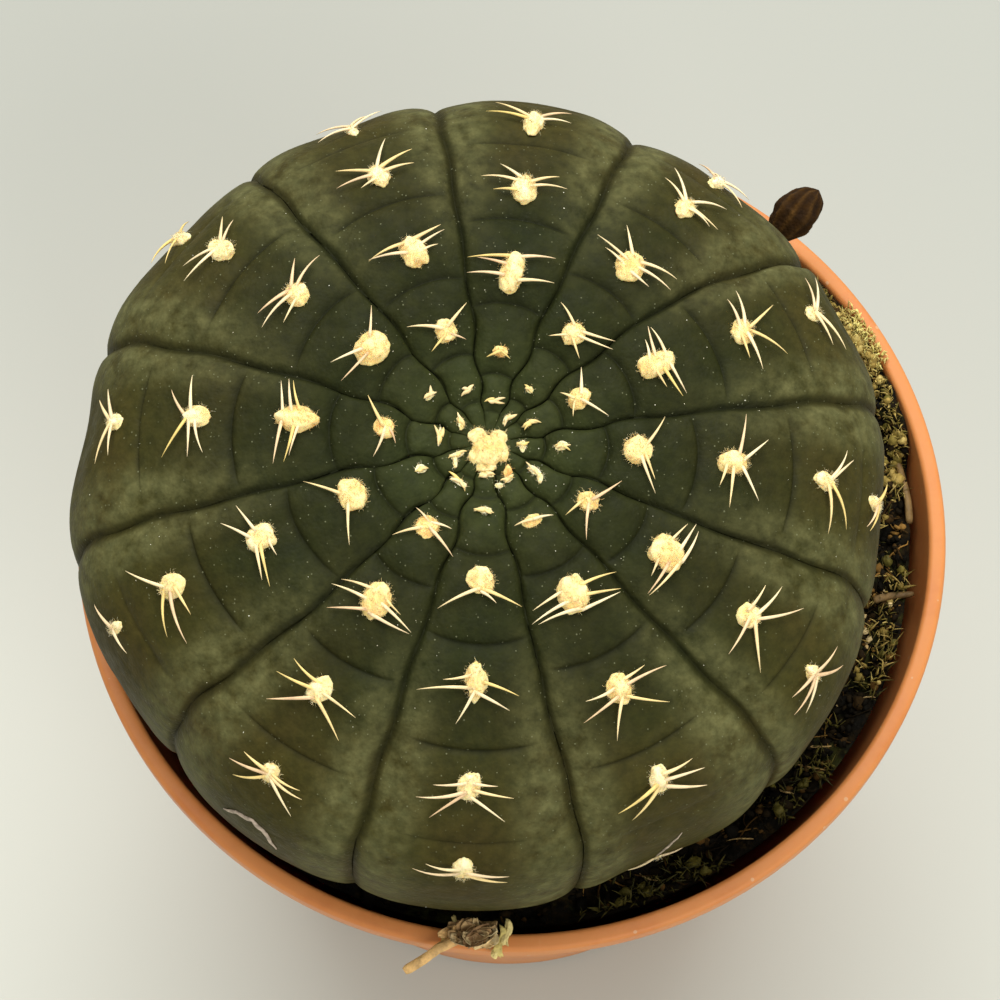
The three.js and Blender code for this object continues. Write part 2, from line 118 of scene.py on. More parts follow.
class Effect(Enum):
    """The node groups that more than one material uses: name, number inputs and output."""

    MOTTLE = ("mottle", ("Size", "Contrast"), "Mask")
    FINE_GRAIN = ("fine_grain", ("Size",), "Height")
    DUST_SPECKS = ("dust_specks", ("Size", "Amount"), "Mask")
    SCUFFS = ("scuffs", ("Size", "Amount"), "Mask")


def from_screen(*screen: int) -> Colour:
    """Linear colour, with full alpha, of a screen colour's red, green and blue of 0 to 255."""
    shares = [value / 255 for value in screen]
    linear = [part / 12.92 if part <= 0.04045 else ((part + 0.055) / 1.055) ** 2.4 for part in shares]
    return (*linear, 1.0)


def eased(share: Points) -> Points:
    """A share of 0 to 1 that starts and ends gently."""
    return share * share * (3 - 2 * share)


def smoothstep(value: Points | float, low: float, high: float) -> Points:
    """Smooth share of 0 to 1 as value goes from low to high."""
    return eased(np.clip((value - low) / (high - low), 0.0, 1.0))


def value_noise(points: Points, size: float, seed: int) -> Points:
    """Smooth lattice noise.

    Args:
        points: places, with their three coordinates last.
        size: length of one lattice cell, in the points' own unit.
        seed: chooses the pattern.

    Returns:
        One value of -1 to 1 for each point.
    """
    scaled = points / size
    cell = np.floor(scaled).astype(np.int64)
    inside = eased(scaled - cell)
    total = 0.0
    for corner in itertools.product((0, 1), repeat=3):
        key = np.bitwise_xor.reduce((cell + np.array(corner)) * CELL_PRIMES, axis=-1)
        key = (key ^ seed * SEED_PRIME) & HASH_MASK
        for mixer, shift in MIXERS:
            key = ((key ^ key >> shift) * mixer) & HASH_MASK
        height = ((key ^ key >> 16) & 0xFFFF) / 32767.5 - 1
        total = total + np.prod(np.where(np.array(corner) == 1, inside, 1 - inside), axis=-1) * height
    return total


def noise_vectors(points: Points, size: float, seed: int) -> Points:
    """Three noises for each point, to shift it by."""
    return np.stack([value_noise(points, size, seed + i) for i in range(3)], axis=-1)


def random_vector(draw: random.Random, spread: float = 1.0) -> Points:
    """A vector drawn evenly in all directions."""
    return np.array([draw.gauss(0, spread) for _ in range(3)])


def unit(vector: Points) -> Points:
    """The vector, or each row of vectors, brought to length 1."""
    length = np.linalg.norm(vector, axis=-1, keepdims=True)
    return vector / np.maximum(length, 1e-9)


def placed(local: Points, origin: Points, *directions: Points) -> Points:
    """Points of the row frame from their distances along three directions from an origin."""
    return origin + local @ np.stack(directions)


@dataclass(frozen=True)
class Viewpoint:
    """The photograph's camera. Pixels are those of a picture of 1000 by 1000."""

    elevation: float = 69.2
    roll: float = 0.6
    target: Triple = (-0.84, 1.40, 52.0)
    distance: float = 180.2
    focal_pixels: float = 2600.0
    picture: float = 1000.0
    sensor: float = 36.0

    def axes(self) -> tuple[Points, Points, Points]:
        """The camera's right, up and back directions."""
        tilt = math.radians(self.elevation)
        turn = math.radians(self.roll)
        back = np.array((0.0, -math.cos(tilt), math.sin(tilt)))
        level = np.array((1.0, 0.0, 0.0))
        upright = np.cross(back, level)
        right = math.cos(turn) * level + math.sin(turn) * upright
        up = -math.sin(turn) * level + math.cos(turn) * upright
        return right, up, back

    def eye(self) -> Points:
        """The camera's place, in millimetres."""
        return np.array(self.target) + self.axes()[2] * self.distance

    def ray(self, across: float, down: float) -> Points:
        """Direction from the eye through a pixel of the photograph."""
        half = self.picture / 2
        return unit(np.array((across - half, half - down, -self.focal_pixels)) @ np.stack(self.axes()))

    def place_camera(self) -> None:
        """Makes the camera and sets it as the scene's."""
        data = bpy.data.cameras.new("portrait_camera")
        data.sensor_width = self.sensor
        data.lens = self.sensor * self.focal_pixels / self.picture
        data.clip_start = 0.01
        camera = bpy.data.objects.new("portrait_camera", data)
        turn = Matrix([list(axis) for axis in self.axes()]).transposed().to_4x4()
        camera.matrix_world = Matrix.Translation(self.eye() * MM) @ turn
        bpy.context.scene.collection.objects.link(camera)
        bpy.context.scene.camera = camera


class NodeWriter:
    """Writes shader nodes into one tree. Its textures are laid out by one place socket."""

    def __init__(self, tree: bpy.types.NodeTree, place: Socket) -> None:
        """Takes the tree and the place socket."""
        self.tree = tree
        self.place = place

    def give(self, target: Socket, value: Socket | float | Sequence[float]) -> None:
        """Links a socket to the target, or sets a plain value on it."""
        if isinstance(value, Socket):
            self.tree.links.new(value, target)
        else:
            target.default_value = value

    def add(self, kind: str, output: str | int, inputs: dict, **settings: object) -> Socket:
        """Adds one node.

        Args:
            kind: its type, without ShaderNode.
            output: name or number of the output that is wanted.
            inputs: a socket or a plain value for each input, by name or number.
            settings: the node's own settings.

        Returns:
            The output's socket.
        """
        node = self.tree.nodes.new(f"ShaderNode{kind}")
        for name, value in settings.items():
            setattr(node, name, value)
        for key, value in inputs.items():
            self.give(node.inputs[key], value)
        return node.outputs[output]

    def maths(self, operation: str, first: Socket | float, second: Socket | float) -> Socket:
        """One arithmetic step."""
        return self.add("Math", "Value", {0: first, 1: second}, operation=operation)

    def clamp(self, value: Socket) -> Socket:
        """The value held between 0 and 1."""
        return self.add("Clamp", "Result", {"Value": value})

    def noise(self, scale: Socket | float, detail: float, **more: Socket | float) -> Socket:
        """Noise of 0 to 1 about a half, with more of the node's inputs by name."""
        inputs = {"Vector": self.place, "Scale": scale, "Detail": detail, **more}
        return self.add("TexNoise", "Fac", inputs)

    def cells(self, scale: Socket) -> Socket:
        """Distance from the middle of the nearest of many scattered cells."""
        return self.add("TexVoronoi", "Distance", {"Vector": self.place, "Scale": scale})


class EffectGroup(NodeWriter):
    """One shared node group while it is written. Sizes inside it are in millimetres."""

    def __init__(self, effect: Effect) -> None:
        """Makes the group with its inputs and its output."""
        self.effect = effect
        name, inputs, output = effect.value
        tree = bpy.data.node_groups.new(name, "ShaderNodeTree")
        tree.interface.new_socket("Place", in_out="INPUT", socket_type="NodeSocketVector")
        for number in inputs:
            tree.interface.new_socket(number, in_out="INPUT", socket_type="NodeSocketFloat")
        tree.interface.new_socket(output, in_out="OUTPUT", socket_type="NodeSocketFloat")
        self.given = tree.nodes.new("NodeGroupInput").outputs
        super().__init__(tree, self.given["Place"])
        self.scale = self.maths("DIVIDE", 1 / MM, self.given["Size"])

    def write(self) -> None:
        """Writes the group's nodes."""
        fill = {
            Effect.MOTTLE: self.mottle,
            Effect.FINE_GRAIN: self.fine_grain,
            Effect.DUST_SPECKS: self.dust_specks,
            Effect.SCUFFS: self.scuffs,
        }[self.effect]
        self.give(self.tree.nodes.new("NodeGroupOutput").inputs[0], fill())

    def mottle(self) -> Socket:
        """Soft cloudy patches with a finer layer in them."""
        centred = self.maths("SUBTRACT", self.noise(self.scale, 5.0, Roughness=0.62), 0.5)
        stretched = self.maths("MULTIPLY", centred, self.given["Contrast"])
        return self.clamp(self.maths("ADD", stretched, 0.5))

    def fine_grain(self) -> Socket:
        """Pebbled cells with a fine noise over them."""
        domes = self.maths("SUBTRACT", 1.0, self.cells(self.scale))
        return self.maths("ADD", domes, self.maths("MULTIPLY", self.noise(self.scale, 3.0), 0.6))

    def dust_specks(self) -> Socket:
        """Scattered small specks, more of them as the amount rises to 1."""
        distance = self.cells(self.scale)
        draw = self.add("SeparateColor", "Red", {"Color": distance.node.outputs["Color"]})
        patches = self.noise(self.maths("MULTIPLY", self.scale, 0.13), 2.0)
        core = self.maths("LESS_THAN", distance, self.maths("MULTIPLY", draw, 0.22))
        local = self.maths("MULTIPLY", patches, self.given["Amount"])
        return self.maths("MULTIPLY", core, self.maths("LESS_THAN", draw.node.outputs["Green"], local))

    def scuffs(self) -> Socket:
        """Thin broken scratches and rubbed streaks."""
        laid = {"Vector": self.place, "Rotation": (0.35, 0.2, 0.6), "Scale": (1.0, 0.16, 1.0)}
        streaks = self.noise(self.scale, 6.0, Roughness=0.7, Vector=self.add("Mapping", "Vector", laid))
        limit = self.maths("SUBTRACT", 0.78, self.maths("MULTIPLY", self.given["Amount"], 0.25))
        return self.clamp(self.maths("MULTIPLY", self.maths("SUBTRACT", streaks, limit), 9.0))


class Recipe(NodeWriter):
    """Writes the nodes of one material round a Principled shader."""

    def __init__(self, name: str) -> None:
        """Starts a bare material with its shader and output."""
        self.material = bpy.data.materials.new(name)
        self.material.use_nodes = True
        nodes = self.material.node_tree.nodes
        nodes.clear()
        super().__init__(self.material.node_tree, nodes.new("ShaderNodeTexCoord").outputs["Object"])
        surface = self.add("BsdfPrincipled", "BSDF", {})
        self.shader = surface.node
        self.give(nodes.new("ShaderNodeOutputMaterial").inputs["Surface"], surface)

    def finish(self, **values: Socket | float) -> None:
        """Links or sets the shader's own sockets, named with _ for spaces."""
        for name, value in values.items():
            self.give(self.shader.inputs[name.replace("_", " ")], value)

    def attribute(self, name: str) -> Socket:
        """The value that a mesh carries at its points under this name."""
        return self.add("Attribute", "Fac", {}, attribute_name=name)

    def effect(self, effect: Effect, **values: float) -> Socket:
        """Places a shared group, on Object coordinates, with this material's own values."""
        tree = bpy.data.node_groups[effect.value[0]]
        return self.add("Group", 0, {"Place": self.place, **values}, node_tree=tree)

    def lumps(self, size: float, detail: float, rough: float = 0.55) -> Socket:
        """Noise of about this size in millimetres."""
        return self.noise(1 / (size * MM), detail, Roughness=rough)

    def remap(
        self, value: Socket, low: float, high: float, to_low: float = 0.0, to_high: float = 1.0
    ) -> Socket:
        """The value taken smoothly from one range to another, and held at the ends."""
        limits = {"From Min": low, "From Max": high, "To Min": to_low, "To Max": to_high}
        return self.add("MapRange", "Result", {"Value": value, **limits}, interpolation_type="SMOOTHSTEP")

    def blend(
        self, first: Socket | Colour, second: Socket | Colour, share: Socket | float, way: str = "MIX"
    ) -> Socket:
        """Blends two colours by a share."""
        inputs = {MIX_SHARE: share, MIX_FIRST: first, MIX_SECOND: second}
        return self.add("Mix", MIX_RESULT, inputs, data_type="RGBA", blend_type=way)

    def ramp(self, value: Socket, stops: Sequence[tuple[float, Colour]]) -> Socket:
        """Colours at stops along a value."""
        shade = self.add("ValToRGB", "Color", {"Fac": value})
        elements = shade.node.color_ramp.elements
        elements[0].position, elements[0].color = stops[0]
        elements[1].position, elements[1].color = stops[-1]
        for position, colour in stops[1:-1]:
            elements.new(position).color = colour
        return shade

    def bump(self, *heights: tuple[Socket, float, float]) -> Material:
        """Feeds a chain of bumps to the shader.

        Args:
            heights: for each bump its height socket, its depth in millimetres and its strength.

        Returns:
            The finished material.
        """
        before: dict[str, Socket] = {}
        for height, depth, strength in heights:
            inputs = {"Height": height, "Distance": depth * MM, "Strength": strength, **before}
            before = {"Normal": self.add("Bump", "Normal", inputs)}
        self.finish(**before)
        return self.material


@dataclass(frozen=True)
class SkinFinish:
    """Matt dark olive skin, with painted shade in its grooves, a pale bloom and painted highlight on the
    shoulders, and browner low on the flank.
    """

    inner: Colour = from_screen(46, 52, 24)
    middle: Colour = from_screen(32, 36, 11)
    outer: Colour = from_screen(60, 57, 22)
    # Pale grey on the rib shoulders: partly real bloom, partly a painted highlight where the shoulders catch
    # the light.
    shoulder: Colour = from_screen(94, 93, 58)
    # Painted shade: near-black laid along the rib grooves and cross lines, where shade falls in the creases.
    groove: Colour = from_screen(15, 17, 5)
    aged: Colour = from_screen(60, 50, 21)
    under: Colour = from_screen(78, 60, 32)
    speck: Colour = from_screen(130, 132, 100)
    darker: Colour = (0.78, 0.8, 0.74, 1.0)
    lighter: Colour = (1.22, 1.2, 1.16, 1.0)

    def make(self) -> Material:
        """Returns the stem's material."""
        recipe = Recipe("stem_skin_finish")
        outward = recipe.attribute("outward")
        young = recipe.blend(self.inner, self.middle, recipe.remap(outward, 0.08, 0.3))
        colour = recipe.blend(young, self.outer, recipe.remap(outward, 0.42, 0.8))
        clouds = recipe.effect(Effect.MOTTLE, Size=7.0, Contrast=3.2)
        age = recipe.maths("MULTIPLY", clouds, recipe.remap(outward, 0.3, 0.9, 0.1, 0.75))
        colour = recipe.blend(colour, self.aged, age)
        patches = recipe.effect(Effect.MOTTLE, Size=1.3, Contrast=2.8)
        # Mask of the pale bloom and painted highlight on the shoulders, broken into patches.
        bloom_and_highlight_share = recipe.maths("MULTIPLY", patches, recipe.attribute("shoulder"))
        colour = recipe.blend(colour, self.shoulder, bloom_and_highlight_share)
        fine = recipe.effect(Effect.MOTTLE, Size=0.8, Contrast=3.2)
        shades = recipe.ramp(fine, ((0.0, self.darker), (1.0, self.lighter)))
        colour = recipe.blend(colour, shades, 1.0, "MULTIPLY")
        colour = recipe.blend(colour, self.under, recipe.attribute("under"))
        # Painted shade in the grooves and cross lines.
        colour = recipe.blend(colour, self.groove, recipe.attribute("groove"))
        # Rubbed streaks take the same pale colour as the shoulders.
        rubbed = recipe.effect(Effect.SCUFFS, Size=2.6, Amount=0.42)
        colour = recipe.blend(colour, self.shoulder, recipe.maths("MULTIPLY", rubbed, 0.55))
        specks = recipe.effect(Effect.DUST_SPECKS, Size=0.26, Amount=0.7)
        colour = recipe.blend(colour, self.speck, recipe.maths("MULTIPLY", specks, 0.4))
        recipe.finish(
            Base_Color=colour, Roughness=recipe.remap(patches, 0.0, 1.0, 0.58, 0.74), Specular_IOR_Level=0.09
        )
        grain = recipe.effect(Effect.FINE_GRAIN, Size=0.26)
        return recipe.bump((recipe.lumps(1.3, 4.0), 0.22, 0.5), (grain, 0.05, 0.55))


@dataclass(frozen=True)
class PlasticFinish:
    """Satin terracotta-orange plastic with scuffs and dust."""

    body: Colour = from_screen(202, 130, 72)
    deep: Colour = from_screen(190, 116, 62)
    rubbed: Colour = from_screen(208, 146, 94)
    dust: Colour = from_screen(204, 176, 140)

    def make(self) -> Material:
        """Returns the pot's material."""
        recipe = Recipe("terracotta_plastic")
        clouds = recipe.effect(Effect.MOTTLE, Size=6.0, Contrast=1.8)
        colour = recipe.blend(self.deep, self.body, recipe.remap(clouds, 0.1, 0.6))
        marks = recipe.effect(Effect.SCUFFS, Size=1.5, Amount=0.55)
        colour = recipe.blend(colour, self.rubbed, recipe.maths("MULTIPLY", marks, 0.6))
        specks = recipe.effect(Effect.DUST_SPECKS, Size=0.7, Amount=0.5)
        colour = recipe.blend(colour, self.dust, recipe.maths("MULTIPLY", specks, 0.5))
        recipe.finish(Base_Color=colour, Roughness=recipe.remap(clouds, 0.0, 1.0, 0.36, 0.5))
        recipe.finish(Subsurface_Weight=0.06, Subsurface_Scale=0.0012, Specular_IOR_Level=0.2)
        grain = recipe.effect(Effect.FINE_GRAIN, Size=0.5)
        return recipe.bump((recipe.lumps(4.0, 3.0), 0.2, 0.35), (grain, 0.02, 0.3))


@dataclass(frozen=True)
class PeatFinish:
    """Damp near-black peat."""

    black: Colour = from_screen(11, 8, 2)
    brown: Colour = from_screen(38, 28, 10)
    mossy: Colour = from_screen(58, 60, 22)

    def make(self) -> Material:
        """Returns the soil's material."""
        recipe = Recipe("damp_peat")
        crumbs = recipe.effect(Effect.MOTTLE, Size=0.8, Contrast=3.0)
        colour = recipe.blend(self.black, self.brown, recipe.remap(crumbs, 0.35, 1.0))
        growth = recipe.effect(Effect.MOTTLE, Size=5.0, Contrast=3.5)
        colour = recipe.blend(colour, self.mossy, recipe.remap(growth, 0.72, 1.0, 0.0, 0.6))
        recipe.finish(
            Base_Color=colour, Roughness=recipe.remap(crumbs, 0.0, 1.0, 0.7, 0.95), Specular_IOR_Level=0.12
        )
        grain = recipe.effect(Effect.FINE_GRAIN, Size=0.45)
        return recipe.bump((recipe.lumps(0.9, 5.0, 0.7), 0.3, 0.9), (grain, 0.1, 0.6))


@dataclass(frozen=True)
class TintedFinish:
    """A matt finish whose copies each carry their own tint, from 0 to 1.

    Each stop has its place along the tint and then its screen colour.
    """

    name: str
    stops: tuple[tuple[float, int, int, int], ...]
    roughness: Pair = (0.6, 0.85)
    mottle_size: float = 0.35
    mottle_depth: float = 0.3
    bump_size: float = 0.2
    bump_depth: float = 0.05
    gloss: float = 0.3
    glow: float = 0.0

    def make(self) -> Material:
        """Returns the material."""
        recipe = Recipe(self.name)
        stops = [(place, from_screen(*screen)) for place, *screen in self.stops]
        colour = recipe.ramp(recipe.attribute("tint"), stops)
        mask = recipe.effect(Effect.MOTTLE, Size=self.mottle_size, Contrast=2.4)
        low = 1 - self.mottle_depth
        high = 1 + 0.5 * self.mottle_depth
        shades = recipe.ramp(mask, ((0.0, (low, low, low, 1.0)), (1.0, (high, high, high, 1.0))))
        recipe.finish(
            Base_Color=recipe.blend(colour, shades, 1.0, "MULTIPLY"),
            Roughness=recipe.remap(mask, 0.0, 1.0, *self.roughness),
            Specular_IOR_Level=self.gloss,
        )
        if self.glow:
            recipe.finish(Subsurface_Weight=self.glow, Subsurface_Scale=0.0006)
        return recipe.bump((recipe.effect(Effect.FINE_GRAIN, Size=self.bump_size), self.bump_depth, 0.6))


WOOL = TintedFinish(
    "cream_wool",
    ((0.0, 240, 176, 98), (0.3, 253, 216, 136), (0.6, 254, 230, 164), (1.0, 254, 242, 204)),
    roughness=(0.85, 1.0),
    mottle_size=0.3,
    mottle_depth=0.1,
    bump_size=0.09,
    bump_depth=0.025,
    glow=0.2,
)
HORN = TintedFinish(
    "ivory_horn",
    ((0.0, 238, 208, 122), (0.25, 248, 220, 160), (0.6, 252, 232, 184), (1.0, 230, 192, 146)),
    roughness=(0.4, 0.6),
    mottle_size=0.8,
    mottle_depth=0.25,
    bump_size=0.08,
    bump_depth=0.012,
)
DUST = TintedFinish("pale_dust", ((0.0, 238, 236, 216), (1.0, 196, 188, 158)), roughness=(0.8, 1.0))
CORK = TintedFinish(
    "grey_cork",
    ((0.0, 170, 152, 130), (1.0, 206, 188, 168)),
    roughness=(0.8, 1.0),
    mottle_size=0.5,
    mottle_depth=0.5,
    bump_size=0.15,
)
GRIT = TintedFinish(
    "peat_grit",
    ((0.0, 13, 10, 3), (0.35, 34, 25, 9), (0.62, 90, 64, 26), (0.85, 160, 120, 58), (1.0, 222, 196, 138)),
    roughness=(0.75, 1.0),
    mottle_depth=0.45,
    gloss=0.12,
)
MOSS = TintedFinish(
    "olive_moss",
    (
        (0.0, 46, 46, 14),
        (0.35, 104, 94, 30),
        (0.6, 162, 136, 66),
        (0.85, 218, 194, 114),
        (1.0, 242, 232, 142),
    ),
)
HUSK = TintedFinish(
    "dry_husk",
    ((0.0, 34, 19, 4), (0.3, 54, 34, 8), (0.6, 84, 58, 22), (1.0, 112, 82, 40)),
    roughness=(0.7, 0.95),
    mottle_size=0.6,
    mottle_depth=0.4,
    bump_size=0.22,
    bump_depth=0.08,
    gloss=0.1,
)
PAPERY = TintedFinish(
    "papery_petals",
    (
        (0.0, 136, 102, 64),
        (0.4, 178, 146, 96),
        (0.75, 216, 196, 146),
        (0.9, 214, 172, 108),
        (1.0, 222, 178, 112),
    ),
    roughness=(0.5, 0.8),
    mottle_size=0.6,
    mottle_depth=0.5,
    bump_size=0.18,
    bump_depth=0.06,
)
FRESH = TintedFinish("yellow_green_tissue", ((0.0, 212, 192, 108), (1.0, 236, 216, 146)))
DRY_STRAW = TintedFinish(
    "dry_straw",
    ((0.0, 84, 62, 30), (1.0, 150, 120, 72)),
    roughness=(0.5, 0.75),
    mottle_size=0.7,
    mottle_depth=0.4,
    bump_size=0.25,
    bump_depth=0.04,
)


def store_values(mesh: Mesh, name: str, values: Points) -> None:
    """Keeps one value for each of a mesh's points under a name that its material reads."""
    layer = mesh.attributes.new(name, "FLOAT", "POINT")
    layer.data.foreach_set("value", np.asarray(values, dtype=np.float32))


def mesh_points(mesh: Mesh) -> Points:
    """A mesh's points, three columns."""
    flat = np.empty(len(mesh.vertices) * 3)
    mesh.vertices.foreach_get("co", flat)
    return flat.reshape(-1, 3)


def move_points(mesh: Mesh, points: Points) -> None:
    """Puts a mesh's points in these places, in the same order."""
    mesh.vertices.foreach_set("co", np.ascontiguousarray(points, dtype=np.float32).ravel())
    mesh.update()


def to_mesh(shape: bmesh.types.BMesh, name: str) -> Mesh:
    """A new mesh from a bmesh, which is freed."""
    mesh = bpy.data.meshes.new(name)
    shape.to_mesh(mesh)
    shape.free()
    return mesh


def in_scene(name: str, data: bpy.types.ID) -> bpy.types.Object:
    """A new object of the scene, at the origin."""
    thing = bpy.data.objects.new(name, data)
    bpy.context.scene.collection.objects.link(thing)
    return thing


def settle(mesh: Mesh, material: Material, node: str) -> bpy.types.Object:
    """Makes a finished piece of a mesh that is in millimetres and named as the piece.

    Args:
        mesh: the piece's mesh.
        material: its finish.
        node: the CAD node that it stands for.

    Returns:
        The piece's object, riding on its body.
    """
    move_points(mesh, mesh_points(mesh) * MM)
    mesh.polygons.foreach_set("use_smooth", [True] * len(mesh.polygons))
    mesh.materials.clear()
    mesh.materials.append(material)
    piece = in_scene(mesh.name, mesh)
    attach(piece, ROOT_BODY)
    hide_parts(node)
    LOG.info("%s: %d faces", piece.name, len(mesh.polygons))
    return piece


def sphere_grid(name: str, columns: int, rows: int) -> tuple[Mesh, Points, Points]:
    """A sphere's grid, to be moved into a form.

    Args:
        name: the mesh's name.
        columns: steps round.
        rows: steps from the top down.

    Returns:
        The mesh, its points and each point's way down from the top, from 0 to 1.
    """
    shape = bmesh.new()
    bmesh.ops.create_uvsphere(shape, u_segments=columns, v_segments=rows, radius=1.0)
    mesh = to_mesh(shape, name)
    ball = mesh_points(mesh)
    return mesh, ball, np.arccos(np.clip(ball[:, 2], -1, 1)) / np.pi


@dataclass(frozen=True)
class Rib:
    """One rib: where its areoles stand, how far they are ahead of the first rib's, and its groove.

    groove holds the bearings of the groove after the rib, near the crown and on the flank.
    """

    bearing: float
    lag: float
    groove: Pair


RIBS = (
    Rib(7, 0.0, (22.8, 22.6)),
    Rib(37, -0.4, (49.5, 54.8)),
    Rib(64, 0.1, (80.5, 79.0)),
    Rib(94, -0.3, (111.5, 107.0)),
    Rib(123, 0.35, (138.0, 134.6)),
    Rib(152, 0.05, (167.4, 165.2)),
    Rib(182, 0.7, (197.2, 197.0)),
    Rib(212, 0.25, (222.8, 228.2)),
    Rib(244, -0.3, (255.0, 257.2)),
    Rib(274, 0.15, (287.2, 287.6)),
    Rib(307, -0.3, (320.0, 321.6)),
    Rib(338, 0.35, (352.0, 351.8)),
)


@dataclass(frozen=True)
class Seat:
    """A place on the stem, and the directions outwards, down the rib and across it."""

    root: Points
    normal: Points
    ahead: Points
    side: Points


@dataclass(frozen=True)
class StemForm:
    """The stem's skin as a surface over step and bearing, with the source's formulas.

    A pair that blends holds the crown's value and the flank's. A hollow has its bearing, width and
    depth.
    """

    crown_step: float = -1.5
    first_step: float = -0.75
    edge_step: float = 4.75
    last_step: float = 5.9
    base_step: float = 6.592
    first_angle: float = 5.7
    angle_curve: Triple = (3.8, 2.95, -0.16)
    edge_slope: float = 58.0
    areole_share: float = 0.34
    bow: float = 0.06
    hollow_depth: float = 2.15
    hollow_width: float = 7.0
    top_flatness: float = 0.56
    under_flatness: float = 0.8
    rib_groove: Pair = (0.46, 0.04)
    rib_squareness: Pair = (3.8, 5.6)
    crease: Pair = (0.12, 0.12)
    crease_width: float = 0.05
    swell: Pair = (0.42, 0.16)
    chin_sharpness: Pair = (2.6, 4.0)
    notch: Pair = (0.16, 0.15)
    notch_sharpness: Pair = (9.0, 34.0)
    notch_reach: Pair = (1.05, 0.28)
    # Strengths of the painted shade lines along the rib grooves and across the ribs; they change the colour
    # only.
    rib_shade_line: Pair = (0.6, 0.42)
    cross_shade_line: Pair = (0.6, 0.5)
    zigzag: Pair = (0.2, 0.02)
    hollows: tuple[Triple, ...] = (
        (24.0, 7.0, 0.45),
        (39.0, 9.0, 0.55),
        (62.0, 8.0, 0.35),
        (97.0, 13.0, 0.8),
        (155.0, 10.0, 0.85),
        (234.0, 13.0, 0.7),
        (277.0, 10.0, 0.9),
        (310.0, 14.0, 0.85),
        (337.0, 9.0, 0.65),
        (354.0, 6.0, 0.3),
    )

    def matrix(self) -> Points:
        """Stem frame to row frame: its three directions as rows."""
        lean_x, lean_y = (math.sin(math.radians(lean)) for lean in STEM_LEAN)
        axis = np.array((lean_x, lean_y, math.sqrt(1 - lean_x**2 - lean_y**2)))
        side = unit(np.cross((0.0, 1.0, 0.0), axis))
        return np.stack((side, np.cross(axis, side), axis))

    def to_row(self, points: Points) -> Points:
        """Places in the stem's frame as places in the row frame."""
        return points @ self.matrix() + np.array(STEM_CENTRE)

    def angle(self, step: Points | float) -> Points:
        """Angle from the crown, in degrees, of a place so many steps out."""
        line, square, cube = self.angle_curve
        near = np.minimum(step, self.edge_step)
        outer = self.first_angle + line * near + square * near**2 + cube * near**3
        outer = outer + self.edge_slope * (step - near)
        return np.where(step < 0, self.first_angle + line * step, outer)

    def smooth_stem(self, angle: Points, bearing: Points | float) -> Points:
        """The stem without its ribs, in its own frame."""
        turn = np.radians(np.clip(angle, 0.0, 180.0))
        radius = STEM_RADIUS * np.sin(turn)
        cosine = np.cos(turn)
        hollow = self.hollow_depth * np.exp(-((radius / self.hollow_width) ** 2))
        above = STEM_RISE * np.maximum(cosine, 0.0) ** self.top_flatness - hollow
        below = -STEM_DEPTH * np.maximum(-cosine, 0.0) ** self.under_flatness
        height = np.where(cosine >= 0, above, below)
        around = np.radians(bearing)
        return np.stack((radius * np.sin(around), radius * np.cos(around), height), axis=-1)

    def normal(self, step: Points | float, bearing: Points | float) -> Points:
        """Outward normal of the stem without its ribs, in its own frame."""
        angle = self.angle(step)
        ahead = self.smooth_stem(angle + 0.5, bearing)
        behind = self.smooth_stem(np.maximum(angle - 0.5, 0.01), bearing)
        around = np.radians(bearing)
        side = np.stack((np.cos(around), -np.sin(around), np.zeros_like(around)), axis=-1)
        return unit(np.cross(side, ahead - behind))

    def between(self, low_high: Pair, share: Points) -> Points:
        """Value between a crown's and a flank's."""
        return low_high[0] + (low_high[1] - low_high[0]) * share

    def relief(self, step: Points, place: Points, lag: Points) -> tuple[Points, Points]:
        """Depth of the skin under the smooth stem, and how deep in a groove it is.

        Args:
            step: places along the ribs.
            place: places across the ribs, -1 and 1 in the grooves.
            lag: the ribs' lags.

        Returns:
            The relief in millimetres, at most 0, and the groove share of 0 to 1, which masks the painted
            shade in the grooves.
        """
        spread = np.sin(np.radians(np.minimum(self.angle(step), 90.0)))
        across = np.abs(place)
        along = np.mod(step - lag + self.areole_share + self.bow * place**2, 1.0)
        centre = np.abs(2 * along**1.2 - 1)
        notch = centre ** self.between(self.notch_sharpness, spread)
        reach = 1 - smoothstep(across - self.between(self.notch_reach, spread), 0.0, 0.36)
        fade = 1 - smoothstep(step, self.edge_step, self.last_step - 0.3)
        opened = smoothstep(step, self.first_step - 0.5, 0.4)
        outside = smoothstep(step, 3.2, 4.7)
        depth = self.rib_groove[0] + self.rib_groove[1] * spread**1.3
        rib = depth * across ** self.between(self.rib_squareness, spread)
        crease = self.between(self.crease, spread) * np.exp(-(((1 - across) / self.crease_width) ** 2))
        chin = self.between(self.swell, spread) * centre ** self.between(self.chin_sharpness, spread)
        swell = chin * (1 - across**4) * (0.4 + 0.6 * reach)
        cut = self.between(self.notch, spread) * notch * reach * (1 - 0.5 * outside)
        relief = -opened * (rib + (crease + swell + cut) * fade)
        # Painted shade lines in the grooves, along the ribs and across them.
        rib_shade_line = smoothstep(across, 0.9, 1.0) * self.between(self.rib_shade_line, spread) * (0.6 + 0.4 * fade)
        cross_shade_line = notch * reach * fade * (1 - 0.6 * outside) * self.between(self.cross_shade_line, spread)
        return relief, np.clip(opened * np.maximum(rib_shade_line, cross_shade_line), 0.0, 1.0)

    def drawn_in(self, step: Points, bearing: Points) -> Points:
        """How far the flank lies inside the plain form."""
        depth = np.zeros_like(step)
        for middle, width, most in self.hollows:
            away = np.mod(bearing - middle + 180, 360) - 180
            depth += most * np.exp(-((away / width) ** 2))
        return depth * smoothstep(step, 3.7, 4.9) * (1 - smoothstep(step, 5.6, 6.4))

